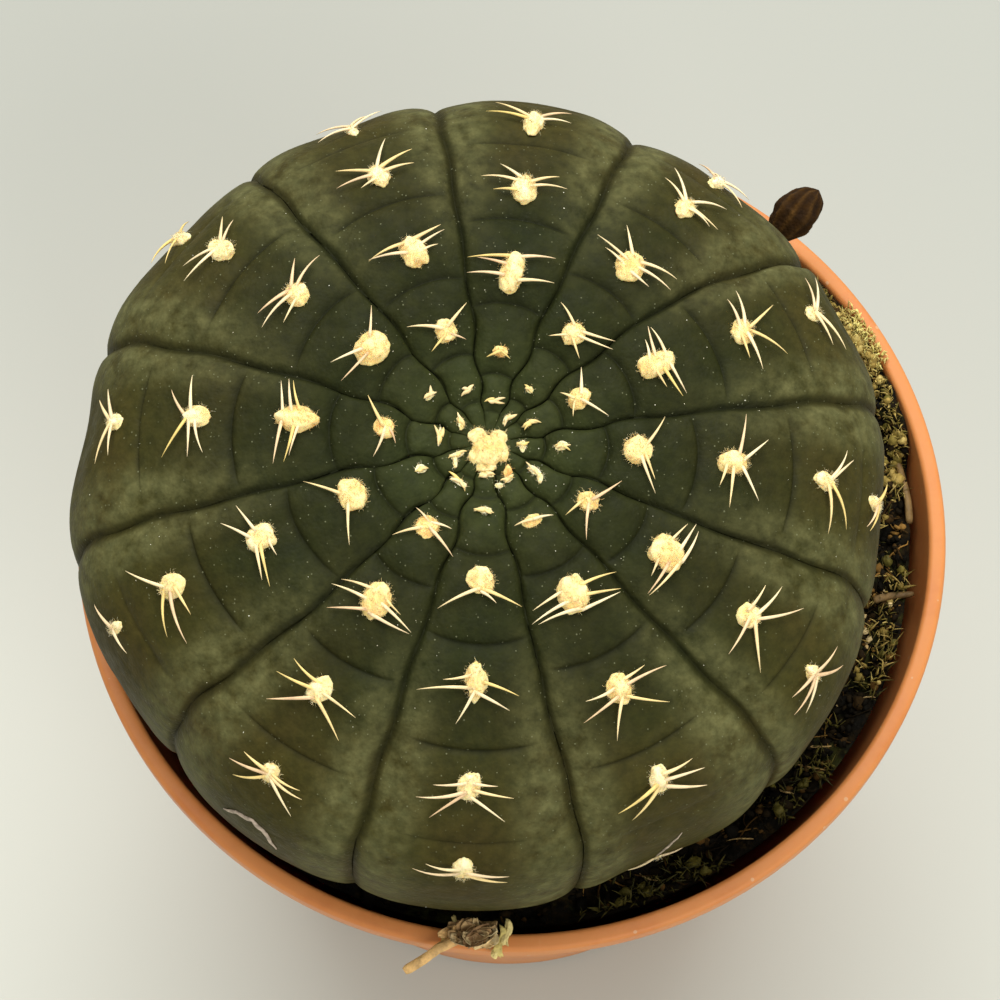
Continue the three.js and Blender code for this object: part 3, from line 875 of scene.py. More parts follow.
    def seat(self, step: float, bearing: float) -> Seat:
        """The seat of an areole on the smooth stem, in the row frame."""
        place = self.to_row(self.smooth_stem(self.angle(step), bearing))
        farther = self.to_row(self.smooth_stem(self.angle(step) + 0.5, bearing))
        normal = self.normal(step, bearing) @ self.matrix()
        side = unit(np.cross(unit(farther - place), normal))
        return Seat(place, normal, unit(np.cross(normal, side)), side)


@dataclass
class CactusStem:
    """The ribbed stem and its taproot."""

    form: StemForm
    finish: SkinFinish
    columns_per_rib: int = 32
    rows_per_step: tuple[int, ...] = (12, 20, 24, 28, 32, 34, 24, 14)
    row_bunching: float = 0.11
    unevenness: float = 0.1
    root_neck: float = 4.2
    root_middle: float = 2.6
    root_tip: float = 0.5
    root_length: float = 15.0
    root_into_stem: float = 3.0
    root_wrinkles: float = 0.09
    surface: BVHTree | None = None

    def row_steps(self) -> Points:
        """The step of each row of the grid, closest at the cross grooves."""
        spans = len(self.rows_per_step)
        starts = [self.form.crown_step] + [i - self.form.areole_share for i in range(spans - 1)]
        starts.append(self.form.base_step)
        rows = []
        for i, count in enumerate(self.rows_per_step):
            share = np.arange(count) / count
            if 0 < i < spans - 2:
                share = share - self.row_bunching * np.sin(2 * math.pi * share)
            rows.append(starts[i] + (starts[i + 1] - starts[i]) * share)
        return np.append(np.concatenate(rows), self.form.base_step)

    def column_places(self) -> tuple[Points, ...]:
        """For each column its rib's number, its place across, bearing, lag and half width."""
        columns = []
        for i, rib in enumerate(RIBS):
            before = RIBS[i - 1]
            to_before = (rib.bearing - before.groove[0]) % 360
            to_after = (rib.groove[0] - rib.bearing) % 360
            for j in range(self.columns_per_rib):
                share = 2 * j / self.columns_per_rib - 1
                place = share * (1.5 - 0.5 * share**2)
                width = to_before if place < 0 else to_after
                lag = (rib.lag + before.lag) / 2 if j == 0 else rib.lag
                columns.append((i, place, rib.bearing + place * width, lag, width))
        return tuple(np.array(columns).T)

    def swing(self, step: Points, number: Points, place: Points, half: Points) -> Points:
        """How far a groove swings between the areoles of its two ribs, and drifts, in degrees."""
        lag = np.array([rib.lag for rib in RIBS])
        low = (np.where(place < 0, number - 1, number) % len(RIBS)).astype(int)
        high = (low + 1) % len(RIBS)
        swing = np.cos(2 * np.pi * (step - lag[low])) - np.cos(2 * np.pi * (step - lag[high]))
        strength = self.form.between(self.form.zigzag, smoothstep(step, 0.2, 2.3))
        drift = np.array([rib.groove[1] - rib.groove[0] for rib in RIBS])[low]
        drift = drift * smoothstep(step, 2.0, 4.7)
        return (0.5 * swing * strength * smoothstep(step, -0.8, 0.3) * half + drift) * place**2

    def build_skin(self) -> Mesh:
        """The ribbed skin: a sphere's grid with each point moved to its place."""
        form = self.form
        rows = self.row_steps()
        columns = self.column_places()
        total = len(columns[0])
        last = len(rows) - 1
        mesh, ball, down = sphere_grid("stem_skin", total, last)
        row = np.rint(down * last).astype(int)
        column = np.rint(np.arctan2(ball[:, 0], ball[:, 1]) / (2 * np.pi) * total).astype(int) % total
        number, place, bearing, lag, half = (values[column] for values in columns)
        pole = (row == 0) | (row == last)
        step = rows[row]
        settling = smoothstep(step, form.first_step, 0.0)
        settling = settling * (1 - smoothstep(step, form.edge_step - 0.5, form.edge_step + 0.6))
        step = np.where(pole, step, step + (lag - form.bow * place**2) * settling)
        bearing = bearing + self.swing(step, number, place, half)
        relief, groove = form.relief(step, place, lag)
        smooth = form.smooth_stem(form.angle(step), bearing)
        bumps = value_noise(smooth, 5.5, 11) + 0.35 * value_noise(smooth, 1.6, 12)
        alive = smoothstep(step, -1.4, -0.4) * (1 - smoothstep(step, 5.9, 6.5))
        push = relief + self.unevenness * bumps * alive - form.drawn_in(step, bearing)
        normal = form.normal(step, bearing)
        normal[pole] = np.outer(np.where(row[pole] == 0, 1.0, -1.0), UPWARDS)
        move_points(mesh, form.to_row(smooth + normal * push[:, None]))
        across = np.abs(place)
        band = smoothstep(across, 0.3, 0.74) * (1 - smoothstep(across, 0.88, 0.98))
        store_values(mesh, "outward", np.clip(step / form.last_step, 0, 1))
        # Mask of the painted shade in the grooves and cross lines.
        store_values(mesh, "groove", groove)
        # Band along each rib's shoulders that carries the pale bloom and painted highlight.
        store_values(mesh, "shoulder", band * smoothstep(step, 1.8, 4.2) * (1 - groove))
        store_values(mesh, "under", smoothstep(step, 5.0, 6.2))
        return mesh

    def build_root(self) -> Mesh:
        """The taproot: a spun cone with a wrinkled skin."""
        top = STEM_CENTRE[2] - STEM_DEPTH
        tip = top - self.root_length
        outline = (
            (0.0, tip),
            (self.root_tip, tip + 0.2),
            (self.root_middle, top - self.root_length / 2),
            (self.root_neck, top),
            (self.root_neck, top + self.root_into_stem),
            (0.0, top + self.root_into_stem),
        )
        mesh = spun_mesh("taproot", outline, 48)
        points = mesh_points(mesh)
        wrinkle = 1 + self.root_wrinkles * value_noise(points * (1.0, 1.0, 0.35), 1.1, 21)
        points[:, :2] = points[:, :2] * wrinkle[:, None] + STEM_CENTRE[:2]
        move_points(mesh, points)
        for name, value in (("outward", 1.0), ("under", 1.0), ("groove", 0.0), ("shoulder", 0.0)):
            store_values(mesh, name, np.full(len(points), value))
        return mesh

    def nearest(self, place: Points) -> tuple[Points, Points]:
        """The nearest place on the skin, and its normal."""
        spot, normal, _, _ = self.surface.find_nearest(Vector(place))
        return np.array(spot), np.array(normal)

    def under_pixel(self, view: Viewpoint, across: float, down: float) -> tuple[Points, Points]:
        """The place on the skin, and its normal, that a pixel of the photograph shows."""
        eye = view.eye()
        ray = view.ray(across, down)
        spot, normal, _, _ = self.surface.ray_cast(Vector(eye), Vector(ray))
        if spot is None:
            return self.nearest(eye + ray * (STEM_CENTRE[2] - eye[2]) / ray[2])
        return np.array(spot), np.array(normal)

    def make(self) -> None:
        """Builds and dresses the stem, and keeps its surface for what lies on it."""
        material = self.finish.make()
        skin = self.build_skin()
        points = [Vector(point) for point in mesh_points(skin)]
        self.surface = BVHTree.FromPolygons(points, [tuple(face.vertices) for face in skin.polygons])
        settle(skin, material, "cactus")
        settle(self.build_root(), material, "cactus")


def spun_mesh(name: str, outline: Sequence[Pair], steps: int) -> Mesh:
    """A closed lathe shape from an outline of radius and height that starts and ends on the axis.

    Args:
        name: the mesh's name.
        outline: radius and height of each corner.
        steps: steps round.

    Returns:
        The mesh, with its faces outwards.
    """
    shape = bmesh.new()
    corners = [shape.verts.new((radius, 0.0, height)) for radius, height in outline]
    edges = [shape.edges.new(pair) for pair in zip(corners, corners[1:])]
    bmesh.ops.spin(
        shape,
        geom=corners + edges,
        cent=(0.0, 0.0, 0.0),
        axis=(0.0, 0.0, 1.0),
        angle=2 * math.pi,
        steps=steps,
        use_merge=True,
    )
    bmesh.ops.remove_doubles(shape, verts=shape.verts[:], dist=1e-4)
    bmesh.ops.dissolve_degenerate(shape, edges=shape.edges[:], dist=1e-5)
    bmesh.ops.recalc_face_normals(shape, faces=shape.faces[:])
    return to_mesh(shape, name)


@dataclass
class NurseryPot:
    """The tapered plastic pot with a rounded lip and drain holes."""

    finish: PlasticFinish
    steps: int = 192
    foot_chamfer: float = 0.8
    lip_fillet: float = 0.3
    base_fillet_wide: float = 1.2
    base_fillet_high: float = 2.0
    drain_holes: int = 6
    drain_radius: float = 2.4
    drain_circle: float = 14.0
    corner_parts: int = 4
    sharp_angle: float = 38.0

    def wall_radius(self, height: float) -> float:
        """Outer radius of the wall at a height."""
        return BASE_RADIUS + (LIP_RADIUS - LIP_OVERHANG - BASE_RADIUS) * height / POT_HEIGHT

    def inner_radius(self, height: float) -> float:
        """Inner radius at a height."""
        in_lip = height >= POT_HEIGHT - LIP_DEPTH
        return INNER_LIP if in_lip else min(self.wall_radius(height) - WALL, INNER_LIP)

    def corner(self, centre: Pair, start: float) -> list[Pair]:
        """Points round one rounded corner of the lip, a quarter turn from an angle in degrees."""
        points = []
        for i in range(self.corner_parts + 1):
            angle = math.radians(start + 90 * i / self.corner_parts)
            across = LIP_ROUNDING * math.cos(angle)
            points.append((centre[0] + across, centre[1] + LIP_ROUNDING * math.sin(angle)))
        return points

    def outline(self) -> list[Pair]:
        """The wall's closed outline, from the middle of the underside round to that of the floor."""
        foot = POT_HEIGHT - LIP_DEPTH
        high = POT_HEIGHT - LIP_ROUNDING
        points = [(0.0, 0.0), (BASE_RADIUS - self.foot_chamfer, 0.0)]
        for share in (0.0, 0.25, 0.5, 0.75, 1.0):
            height = self.foot_chamfer + (foot - self.lip_fillet - self.foot_chamfer) * share
            points.append((self.wall_radius(height), height))
        points += self.corner((LIP_RADIUS - LIP_ROUNDING, foot + LIP_ROUNDING), -90)
        points += self.corner((LIP_RADIUS - LIP_ROUNDING, high), 0)
        points += self.corner((INNER_LIP + LIP_ROUNDING, high), 90)
        for height in (foot, BASE_THICKNESS + self.base_fillet_high):
            points.append((self.inner_radius(height), height))
        points.append((self.inner_radius(BASE_THICKNESS) - self.base_fillet_wide, BASE_THICKNESS))
        points.append((0.0, BASE_THICKNESS))
        return points

    def drill(self) -> bpy.types.Object:
        """The drain holes' cutter, in millimetres."""
        shape = bmesh.new()
        for i in range(self.drain_holes):
            angle = 2 * math.pi * i / self.drain_holes
            place = (self.drain_circle * math.sin(angle), self.drain_circle * math.cos(angle), 0.0)
            bmesh.ops.create_cone(
                shape,
                cap_ends=True,
                segments=40,
                radius1=self.drain_radius,
                radius2=self.drain_radius,
                depth=6 * BASE_THICKNESS,
                matrix=Matrix.Translation(place),
            )
        return in_scene("drain_drill", to_mesh(shape, "drain_drill"))

    def make(self) -> None:
        """Builds and dresses the pot."""
        blank = in_scene("pot_blank", spun_mesh("spun_pot", self.outline(), self.steps))
        cutter = self.drill()
        cut = blank.modifiers.new("drain_holes", "BOOLEAN")
        cut.operation = "DIFFERENCE"
        cut.solver = "EXACT"
        cut.object = cutter
        bpy.context.view_layer.update()
        graph = bpy.context.evaluated_depsgraph_get()
        drilled = bpy.data.meshes.new_from_object(blank.evaluated_get(graph))
        for used in (blank, cutter):
            bpy.data.objects.remove(used)
        drilled.name = "drilled_pot"
        piece = settle(drilled, self.finish.make(), "pot")
        piece.data.set_sharp_from_angle(angle=math.radians(self.sharp_angle))


@dataclass
class PeatBed:
    """The soil: a rough top that passes under the stem, and a plain side and bottom.

    A dip has its place across and deep, and its size.
    """

    form: StemForm
    finish: PeatFinish
    pot: NurseryPot
    columns: int = 300
    visible_from: float = 19.0
    bank_height: float = 3.0
    bank_width: float = 3.2
    bank_bearing: float = 62.0
    low_bank_height: float = 1.3
    low_bank_width: float = 2.0
    low_bank_bearing: float = 100.0
    rim_gap: float = 0.08
    dips: tuple[Triple, ...] = ((26.8, -4.4, 1.9), (27.8, 2.2, 1.5), (27.4, 5.0, 1.5))
    hidden_rows: int = 26
    visible_rows: int = 58
    side_rows: int = 10
    bottom_rows: int = 6

    def level(self, across: Points, deep: Points) -> Points:
        """The source's soil surface."""
        wave = np.sin(0.9 * across + 1.3) * np.cos(1.1 * deep - 0.4)
        wave = wave + 0.7 * np.sin(2.1 * across - 1.7 * deep) + 0.5 * np.cos(3.2 * deep + 1.1 * across)
        radius = np.hypot(across, deep)
        rim = self.pot.inner_radius(SOIL_LEVEL)
        return SOIL_LEVEL + SOIL_ROUGHNESS * wave / 2 + SOIL_MOUND * (1 - radius / rim)

    def under_stem(self, across: Points, deep: Points) -> Points:
        """Height of the stem's underside, less the gap, over a place in the row frame."""
        side, front, axis = self.form.matrix()
        height = np.full_like(across, STEM_CENTRE[2] - STEM_DEPTH)
        for _ in range(6):
            offset = np.stack((across, deep, height), axis=-1) - np.array(STEM_CENTRE)
            sideways = offset @ side
            forwards = offset @ front
            radius = np.minimum(np.hypot(sideways, forwards) / (STEM_RADIUS + HOLE_GAP), 1.0)
            local = -(STEM_DEPTH + HOLE_GAP) * np.sqrt(1 - radius**2) ** self.form.under_flatness
            height = STEM_CENTRE[2] + (local - sideways * side[2] - forwards * front[2]) / axis[2]
        return np.where(radius >= 1.0, 1e3, height)

    def top(self, across: Points, deep: Points) -> Points:
        """Height of the finished rough surface."""
        flat = np.stack((across, deep, np.zeros_like(across)), axis=-1)
        layers = sum(value_noise(flat, 1.5 / 2**i, 31 + i) / 2**i for i in range(4))
        rough = 0.34 * layers + 0.12 * value_noise(flat, 4.0, 36)
        radius = np.hypot(across, deep)
        rim = self.rim(across, deep)
        calm = 1 - 0.5 * smoothstep(radius, rim - 0.8, rim)
        high, low = self.bank_shares(across, deep)
        bank = self.bank_height * high * smoothstep(radius, rim - self.bank_width, rim)
        low_bank = self.low_bank_height * low * smoothstep(radius, rim - self.low_bank_width, rim)
        bank = np.maximum(bank, low_bank)
        for x, y, size in self.dips:
            bank = bank * (1 - 0.85 * np.exp(-((across - x) ** 2 + (deep - y) ** 2) / size**2))
        return np.minimum(self.level(across, deep) + rough * calm + bank, self.under_stem(across, deep))

    def bank_shares(self, across: Points, deep: Points) -> tuple[Points, Points]:
        """How much of the high and of the low bank against the wall stands at a place's bearing."""
        bearing = np.degrees(np.arctan2(across, deep))
        high = 1 - smoothstep(np.abs(bearing - self.bank_bearing), 10.0, 34.0)
        low = 1 - smoothstep(np.abs(np.mod(bearing - self.low_bank_bearing + 180, 360) - 180), 60.0, 90.0)
        return high, low

    def rim(self, across: Points, deep: Points) -> Points:
        """The soil's radius at a place's bearing: out to the lip's inside where the bank is high."""
        low = self.pot.inner_radius(SOIL_LEVEL - 1.0) - self.rim_gap
        high = INNER_LIP - self.rim_gap
        return low + (high - low) * smoothstep(self.bank_shares(across, deep)[0], 0.4, 1.0)

    def rows(self) -> tuple[Points, Points]:
        """Each row's radius and height. On the rough top these are a share of the rim's and nan."""
        floor = BASE_THICKNESS + GAP
        hidden = self.visible_from / INNER_LIP
        inside = hidden * np.arange(self.hidden_rows) / self.hidden_rows
        outside = hidden + (1 - hidden) * np.arange(self.visible_rows + 1) / self.visible_rows
        shares = np.concatenate((inside, outside))
        top = SOIL_LEVEL - 1.0
        fall = floor + self.pot.base_fillet_high - top
        heights = top + fall * np.arange(1, self.side_rows + 1) / self.side_rows
        sides = [self.pot.inner_radius(height) - GAP for height in heights]
        edge = self.pot.inner_radius(BASE_THICKNESS) - self.pot.base_fillet_wide - GAP
        bottom = edge * (1 - np.arange(self.bottom_rows + 1) / self.bottom_rows)
        given = np.concatenate((np.full(len(shares), np.nan), heights, np.full(len(bottom), floor)))
        return np.concatenate((shares, sides, bottom)), given

    def make(self) -> None:
        """Builds and dresses the soil."""
        radii, given = self.rows()
        last = len(radii) - 1
        mesh, ball, down = sphere_grid("peat_bed", self.columns, last)
        row = np.rint(down * last).astype(int)
        around = np.arctan2(ball[:, 1], ball[:, 0])
        rough = np.isnan(given[row])
        radius = radii[row] * np.where(rough, self.rim(np.cos(around), np.sin(around)), 1.0)
        across = radius * np.cos(around)
        deep = radius * np.sin(around)
        height = np.where(rough, self.top(across, deep), given[row])
        move_points(mesh, np.stack((across, deep, height), axis=-1))
        settle(mesh, self.finish.make(), "soil")


class Shape:
    """A small shape made by operators, to be copied, and its points."""

    def __init__(self, shape: bmesh.types.BMesh, name: str) -> None:
        """Takes the shape's bmesh, which is freed."""
        self.mesh = to_mesh(shape, name)
        self.points = mesh_points(self.mesh)


def strand_shape(sides: int, parts: int) -> Shape:
    """A straight closed rod of radius 1 and length 1 along Z, cut in parts, to be bent into strands."""
    shape = bmesh.new()
    bmesh.ops.create_cone(
        shape,
        cap_ends=True,
        segments=sides,
        radius1=1.0,
        radius2=1.0,
        depth=1.0,
        matrix=Matrix.Translation((0.0, 0.0, 0.5)),
    )
    for i in range(1, parts):
        whole = shape.verts[:] + shape.edges[:] + shape.faces[:]
        bmesh.ops.bisect_plane(shape, geom=whole, plane_co=(0, 0, i / parts), plane_no=(0, 0, 1))
    return Shape(shape, f"rod_{sides}_{parts}")


def ball_shape(subdivisions: int, roughness: float = 0.0, seed: int = 0) -> Shape:
    """A closed ball of radius 1 of triangles, made rough by noise."""
    shape = bmesh.new()
    bmesh.ops.create_icosphere(shape, subdivisions=subdivisions, radius=1.0)
    ball = Shape(shape, f"ball_{subdivisions}_{seed}")
    if roughness:
        ball.points *= (1 + roughness * value_noise(ball.points, 0.9, 500 + seed))[:, None]
    return ball


def interpolated(share: Points, stops: Points) -> Points:
    """Places at shares of 0 to 1 along a row of evenly spaced stops."""
    at = np.linspace(0, 1, len(stops))
    return np.stack([np.interp(share, at, stops[:, i]) for i in range(3)], axis=-1)


def along_path(rod: Points, path: Points, radii: Points, up: Points, flatness: float = 1.0) -> Points:
    """Bends a rod's points along a path.

    Args:
        rod: the straight rod's points.
        path: the places that its middle follows.
        radii: the radius at each of those places.
        up: the direction in which flatness makes it thinner.
        flatness: its thickness as a share of its width.

    Returns:
        The bent rod's points.
    """
    share = rod[:, 2]
    tangent = unit(interpolated(share, np.gradient(path, axis=0)))
    side = unit(np.cross(tangent, up))
    normal = np.cross(tangent, side)
    radius = np.interp(share, np.linspace(0, 1, len(path)), radii)[:, None]
    return interpolated(share, path) + radius * (rod[:, :1] * side + rod[:, 1:2] * flatness * normal)


def bent_path(start: Points, middle: Points, end: Points, parts: int) -> Points:
    """A smooth bend from start to end that leans towards a middle point."""
    share = np.linspace(0, 1, parts + 1)[:, None]
    return (1 - share) ** 2 * start + 2 * share * (1 - share) * middle + share**2 * end


def turned(points: Points, draw: random.Random) -> Points:
    """Points turned at random about the origin."""
    axis = unit(random_vector(draw))
    turn = Matrix.Rotation(draw.uniform(0, 2 * math.pi), 3, Vector(axis))
    return points @ np.array(turn).T


@dataclass
class Bunch:
    """Many copies of small shapes, joined in one mesh, each in a place of its own."""

    name: str
    copies: list[tuple[Mesh, Points, Points]] = field(default_factory=list)

    def add(self, shape: Shape, points: Points, tint: float | Points) -> None:
        """Adds a copy of a shape with its points in these places, with one tint or each its own."""
        self.copies.append((shape.mesh, points, np.full(len(points), tint)))

    def settle(self, material: Material, slot: Slot, node: str) -> None:
        """Joins the copies in one mesh, each with its tint, and makes it a piece."""
        meshes, places, tints = zip(*self.copies)
        heap = bmesh.new()
        for mesh in meshes:
            heap.from_mesh(mesh)
        whole = to_mesh(heap, self.name)
        move_points(whole, np.concatenate(places))
        store_values(whole, "tint", np.clip(np.concatenate(tints), 0, 1))
        settle(whole, material, node)


@dataclass(frozen=True)
class Areole:
    """One areole as the photograph shows it.

    wide and long are its pad's size in pixels across and along the rib. Each spine has its root's
    distance down the rib, its angle from the way down the rib, clockwise, and its length.
    """

    step: float
    wide: float
    long: float
    spines: tuple[Triple, ...] = ()


PLAIN_SPINES = ((0.2, -62, 2.4), (0.0, -84, 2.4), (0.2, 62, 2.4), (0.0, 84, 2.4))


def in_steps(first: float, *rows: tuple) -> tuple[Areole, ...]:
    """A rib's areoles, one step apart, each from its pad's size and then its spines."""
    return tuple(Areole(first + i, row[0], row[1], row[2:]) for i, row in enumerate(rows))


AREOLES = {
    7: in_steps(
        0,
        (20, 5),
        (18, 14, (0, -120, 0.95), (0, 120, 0.75)),
        (29, 45, (1, -95, 3), (0.35, -83, 2.25), (-0.35, -91, 2.8), (0.9, 80, 2.6), (-0.65, 83, 2.7)),
        (28, 36, (0.45, -58, 2.05), (0.25, -86, 2.85), (-0.25, -95, 1.95), (0.2, 67, 2.3), (0, 84, 2.7)),
        (25, 28, (0.1, -68, 2.9), (0, -83, 3.25), (0.1, 68, 2.55), (0, 86, 2.4)),
        (18, 20, *PLAIN_SPINES),
    ),
    37: in_steps(
        -0.4,
        (7, 18),
        (12, 10),
        (26, 28, (0.2, -65, 2), (-0.2, -129, 1.4), (0.2, 64, 2.5), (-0.1, 72, 2.7), (-0.2, 123, 1.5)),
        (33, 33, (0.3, -49, 2.5), (0.1, -89, 2.8), (-0.35, -85, 1.95), (0.3, 69, 2.95), (0, 79, 2.95),
         (-0.35, 90, 1.75)),
        (24, 26, (0.1, -56, 2.8), (0, -77, 2.3), (0.3, 48, 2.7), (0.1, 84, 2.55), (-0.1, 88, 2.05)),
        (20, 20, *PLAIN_SPINES),
    ),
    64: in_steps(
        0.1,
        (8, 20),
        (22, 28, (0.2, -64, 1.9), (0, 56, 2.1), (-0.2, 121, 1.05), (-0.2, -128, 1.05)),
        (28, 45, (0.75, -93, 2.2), (0.1, -81, 2.3), (-0.45, -76, 1.65), (0.75, 83, 2.45), (0.25, 79, 2.55),
         (-0.2, 83, 1.65)),
        (28, 28, (-0.2, -92, 2.2), (0.1, -82, 2.55), (0.3, -24, 2.5), (0.2, 50, 3), (0.1, 86, 2.7),
         (-0.25, 92, 1.8)),
        (19, 20, (0, -90, 2.35), (0.1, -70, 2.5), (0.1, 66, 3.1), (0, 75, 2.4)),
        (18, 20, *PLAIN_SPINES),
    ),
    94: in_steps(
        -0.3,
        (9, 15),
        (14, 20),
        (34, 33, (0.3, -61, 2.65), (0.1, 65, 2.8), (0.4, 65, 1.9)),
        (28, 36, (0.2, -86, 3.05), (0.4, -47, 2.4), (0, 89, 2.85), (0.4, 57, 2.6), (-0.4, 100, 1.65)),
        (23, 26, (0.1, -68, 2.4), (0.2, -51, 2.3), (0, 76, 3.3), (0.2, 55, 3.2)),
        (18, 18, (0, 88, 1.8), (0.1, 80, 1.8), (0, -85, 2)),
    ),
    123: in_steps(
        0.35,
        (12, 22),
        (25, 28, (0.1, -65, 2.4), (0.1, 64, 2.25), (-0.2, 110, 1.5)),
        (39, 40, (-0.33, -79, 2.3), (0.6, -91, 2.5), (1.1, -95, 2.2), (0.4, 88, 2.65), (1, 98, 2.7),
         (-0.4, 75, 1.75)),
        (26, 26, (-0.3, -92, 2), (0.2, -83, 2.6), (0.4, -50, 3.15), (0, 82, 2.7), (0.35, 43, 3.35)),
        (18, 22, (0, 90, 2.05), (0.1, 72, 2.8), (0.2, 54, 2.45), (0, -92, 2.25), (0.1, -56, 2.25)),
    ),
    152: in_steps(
        0.05,
        (15, 10),
        (22, 14, (0, 101, 1.15), (0, -71, 1.2)),
        (35, 42, (-0.25, -85, 3), (0.2, -74, 2.95), (1.1, -88, 2.7), (-0.45, 86, 2.6), (0.3, 87, 3),
         (1, 97, 2.7)),
        (30, 34, (-0.4, -96, 2), (0, -90, 3.2), (0.45, -56, 2.9), (0.4, 32, 2.8), (0.3, 78, 2.9),
         (-0.2, 90, 2.2)),
        (22, 33, (-0.3, -94, 2.3), (0.1, -83, 2.85), (0.4, -65, 2.9), (0.1, 72, 3.25), (0.2, 51, 3.1)),
    )
    + (Areole(5.27, 16, 18, PLAIN_SPINES),),
    182: in_steps(
        -0.3,
        (20, 8),
        (22, 10),
        (31, 30, (0.5, 63, 2.85), (0.5, -69, 2.7), (0.7, -55, 1.2)),
        (26, 42, (-0.4, 77, 2), (0.5, 86, 3.5), (0.6, 27, 2.3), (0, -73, 2.75), (0.7, -65, 2.35)),
        (25, 33, (-0.3, 82, 2.2), (0.2, 80, 3.2), (0.25, 52, 2.9), (-0.3, -85, 1.7), (0.1, -82, 2.7),
         (0.5, -56, 2.75)),
        (24, 23, (0, 86, 3.1), (-0.2, 93, 2.3), (0, -87, 2.8), (0.1, -76, 2.85)),
    ),
    212: in_steps(
        0.25,
        (26, 9),
        (27, 24, (0.1, 46, 2.1), (-0.2, 108, 1.3), (0, -76, 2.5), (-0.2, -114, 1.4)),
        (35, 42, (-0.45, 77, 2.55), (0.25, 82, 2.95), (0.7, 59, 2.6), (0, -80, 2.8), (0.9, -96, 2.75),
         (-0.45, -76, 1.75)),
        (25, 32, (-0.4, 100, 2.3), (0, 82, 2.75), (0.5, 56, 2.9), (0.4, -60, 3), (0, -86, 2.75)),
        (22, 25, (-0.1, 101, 2), (0, 79, 2.7), (0.1, 58, 2.35), (0, -79, 2.5), (-0.1, -88, 2.1),
         (0.1, -55, 2.9)),
    ),
    244: in_steps(
        -0.3,
        (9, 22),
        (14, 16),
        (38, 34, (0.3, 46, 3), (0.2, -68, 2.95)),
        (29, 33, (0, 77, 2.55), (0.4, 52, 2.3), (0.4, -75, 2.45), (0.1, -77, 3), (-0.4, -90, 1.4)),
        (28, 30, (0.2, 50, 3), (0.4, -62, 2.9), (0, -76, 3.6), (-0.2, -93, 2.15)),
        (14, 20, (0, 88, 2), (0, -79, 1.75)),
    ),
    274: in_steps(
        0.15,
        (27, 8),
        (22, 23, (0.1, 57, 2.25), (0, -77, 1.9), (-0.2, -121, 1.05)),
        (27, 50, (0.85, 81, 2.35), (0.25, 79, 2.4), (-0.4, 70, 2.4), (0.85, -83, 2.9), (0.1, -80, 2.75),
         (-0.3, -76, 2.4)),
        (25, 32, (0.7, 59, 1.9), (0.3, 89, 2.5), (0.45, -56, 3.1), (0.45, -90, 2.6), (0.05, -104, 2.45)),
        (19, 20, (0.1, 52, 2.3), (0, 84, 2.15), (0.1, -62, 2.85), (0, -81, 2.2)),
        (18, 20, *PLAIN_SPINES),
    ),
    307: in_steps(
        -0.3,
        (8, 16),
        (18, 9),
        (38, 34, (0.2, 55, 2.6), (0.1, -61, 2.6), (-0.1, -84, 2.75)),
        (28, 30, (0.35, 60, 2.15), (0.1, 87, 2.9), (0.4, -70, 2.5), (0.1, -83, 2.95), (-0.2, -97, 1.95)),
        (26, 34, (0.1, 60, 2.2), (0, 78, 2.1), (0.1, -74, 3.1), (0.2, -56, 2.6)),
        (20, 20, *PLAIN_SPINES),
    ),
    338: in_steps(
        0.35,
        (17, 6),
        (24, 26, (0.1, -65, 2.35), (0.1, 58, 2.1), (-0.2, -118, 1.45), (-0.2, 125, 1.25)),
        (30, 38, (0.6, -90, 2.8), (-0.15, -76, 2.85), (0.7, 84, 2.2), (0.05, 77, 2.4), (-0.35, 84, 1.6)),
        (25, 28, (0.3, 36, 2.5), (0.3, 82, 2.65), (0, 96, 2.4), (0.2, -60, 2.75), (0, -83, 2.8),
         (-0.2, -100, 1.4)),
        (14, 16, *PLAIN_SPINES),
    ),
}


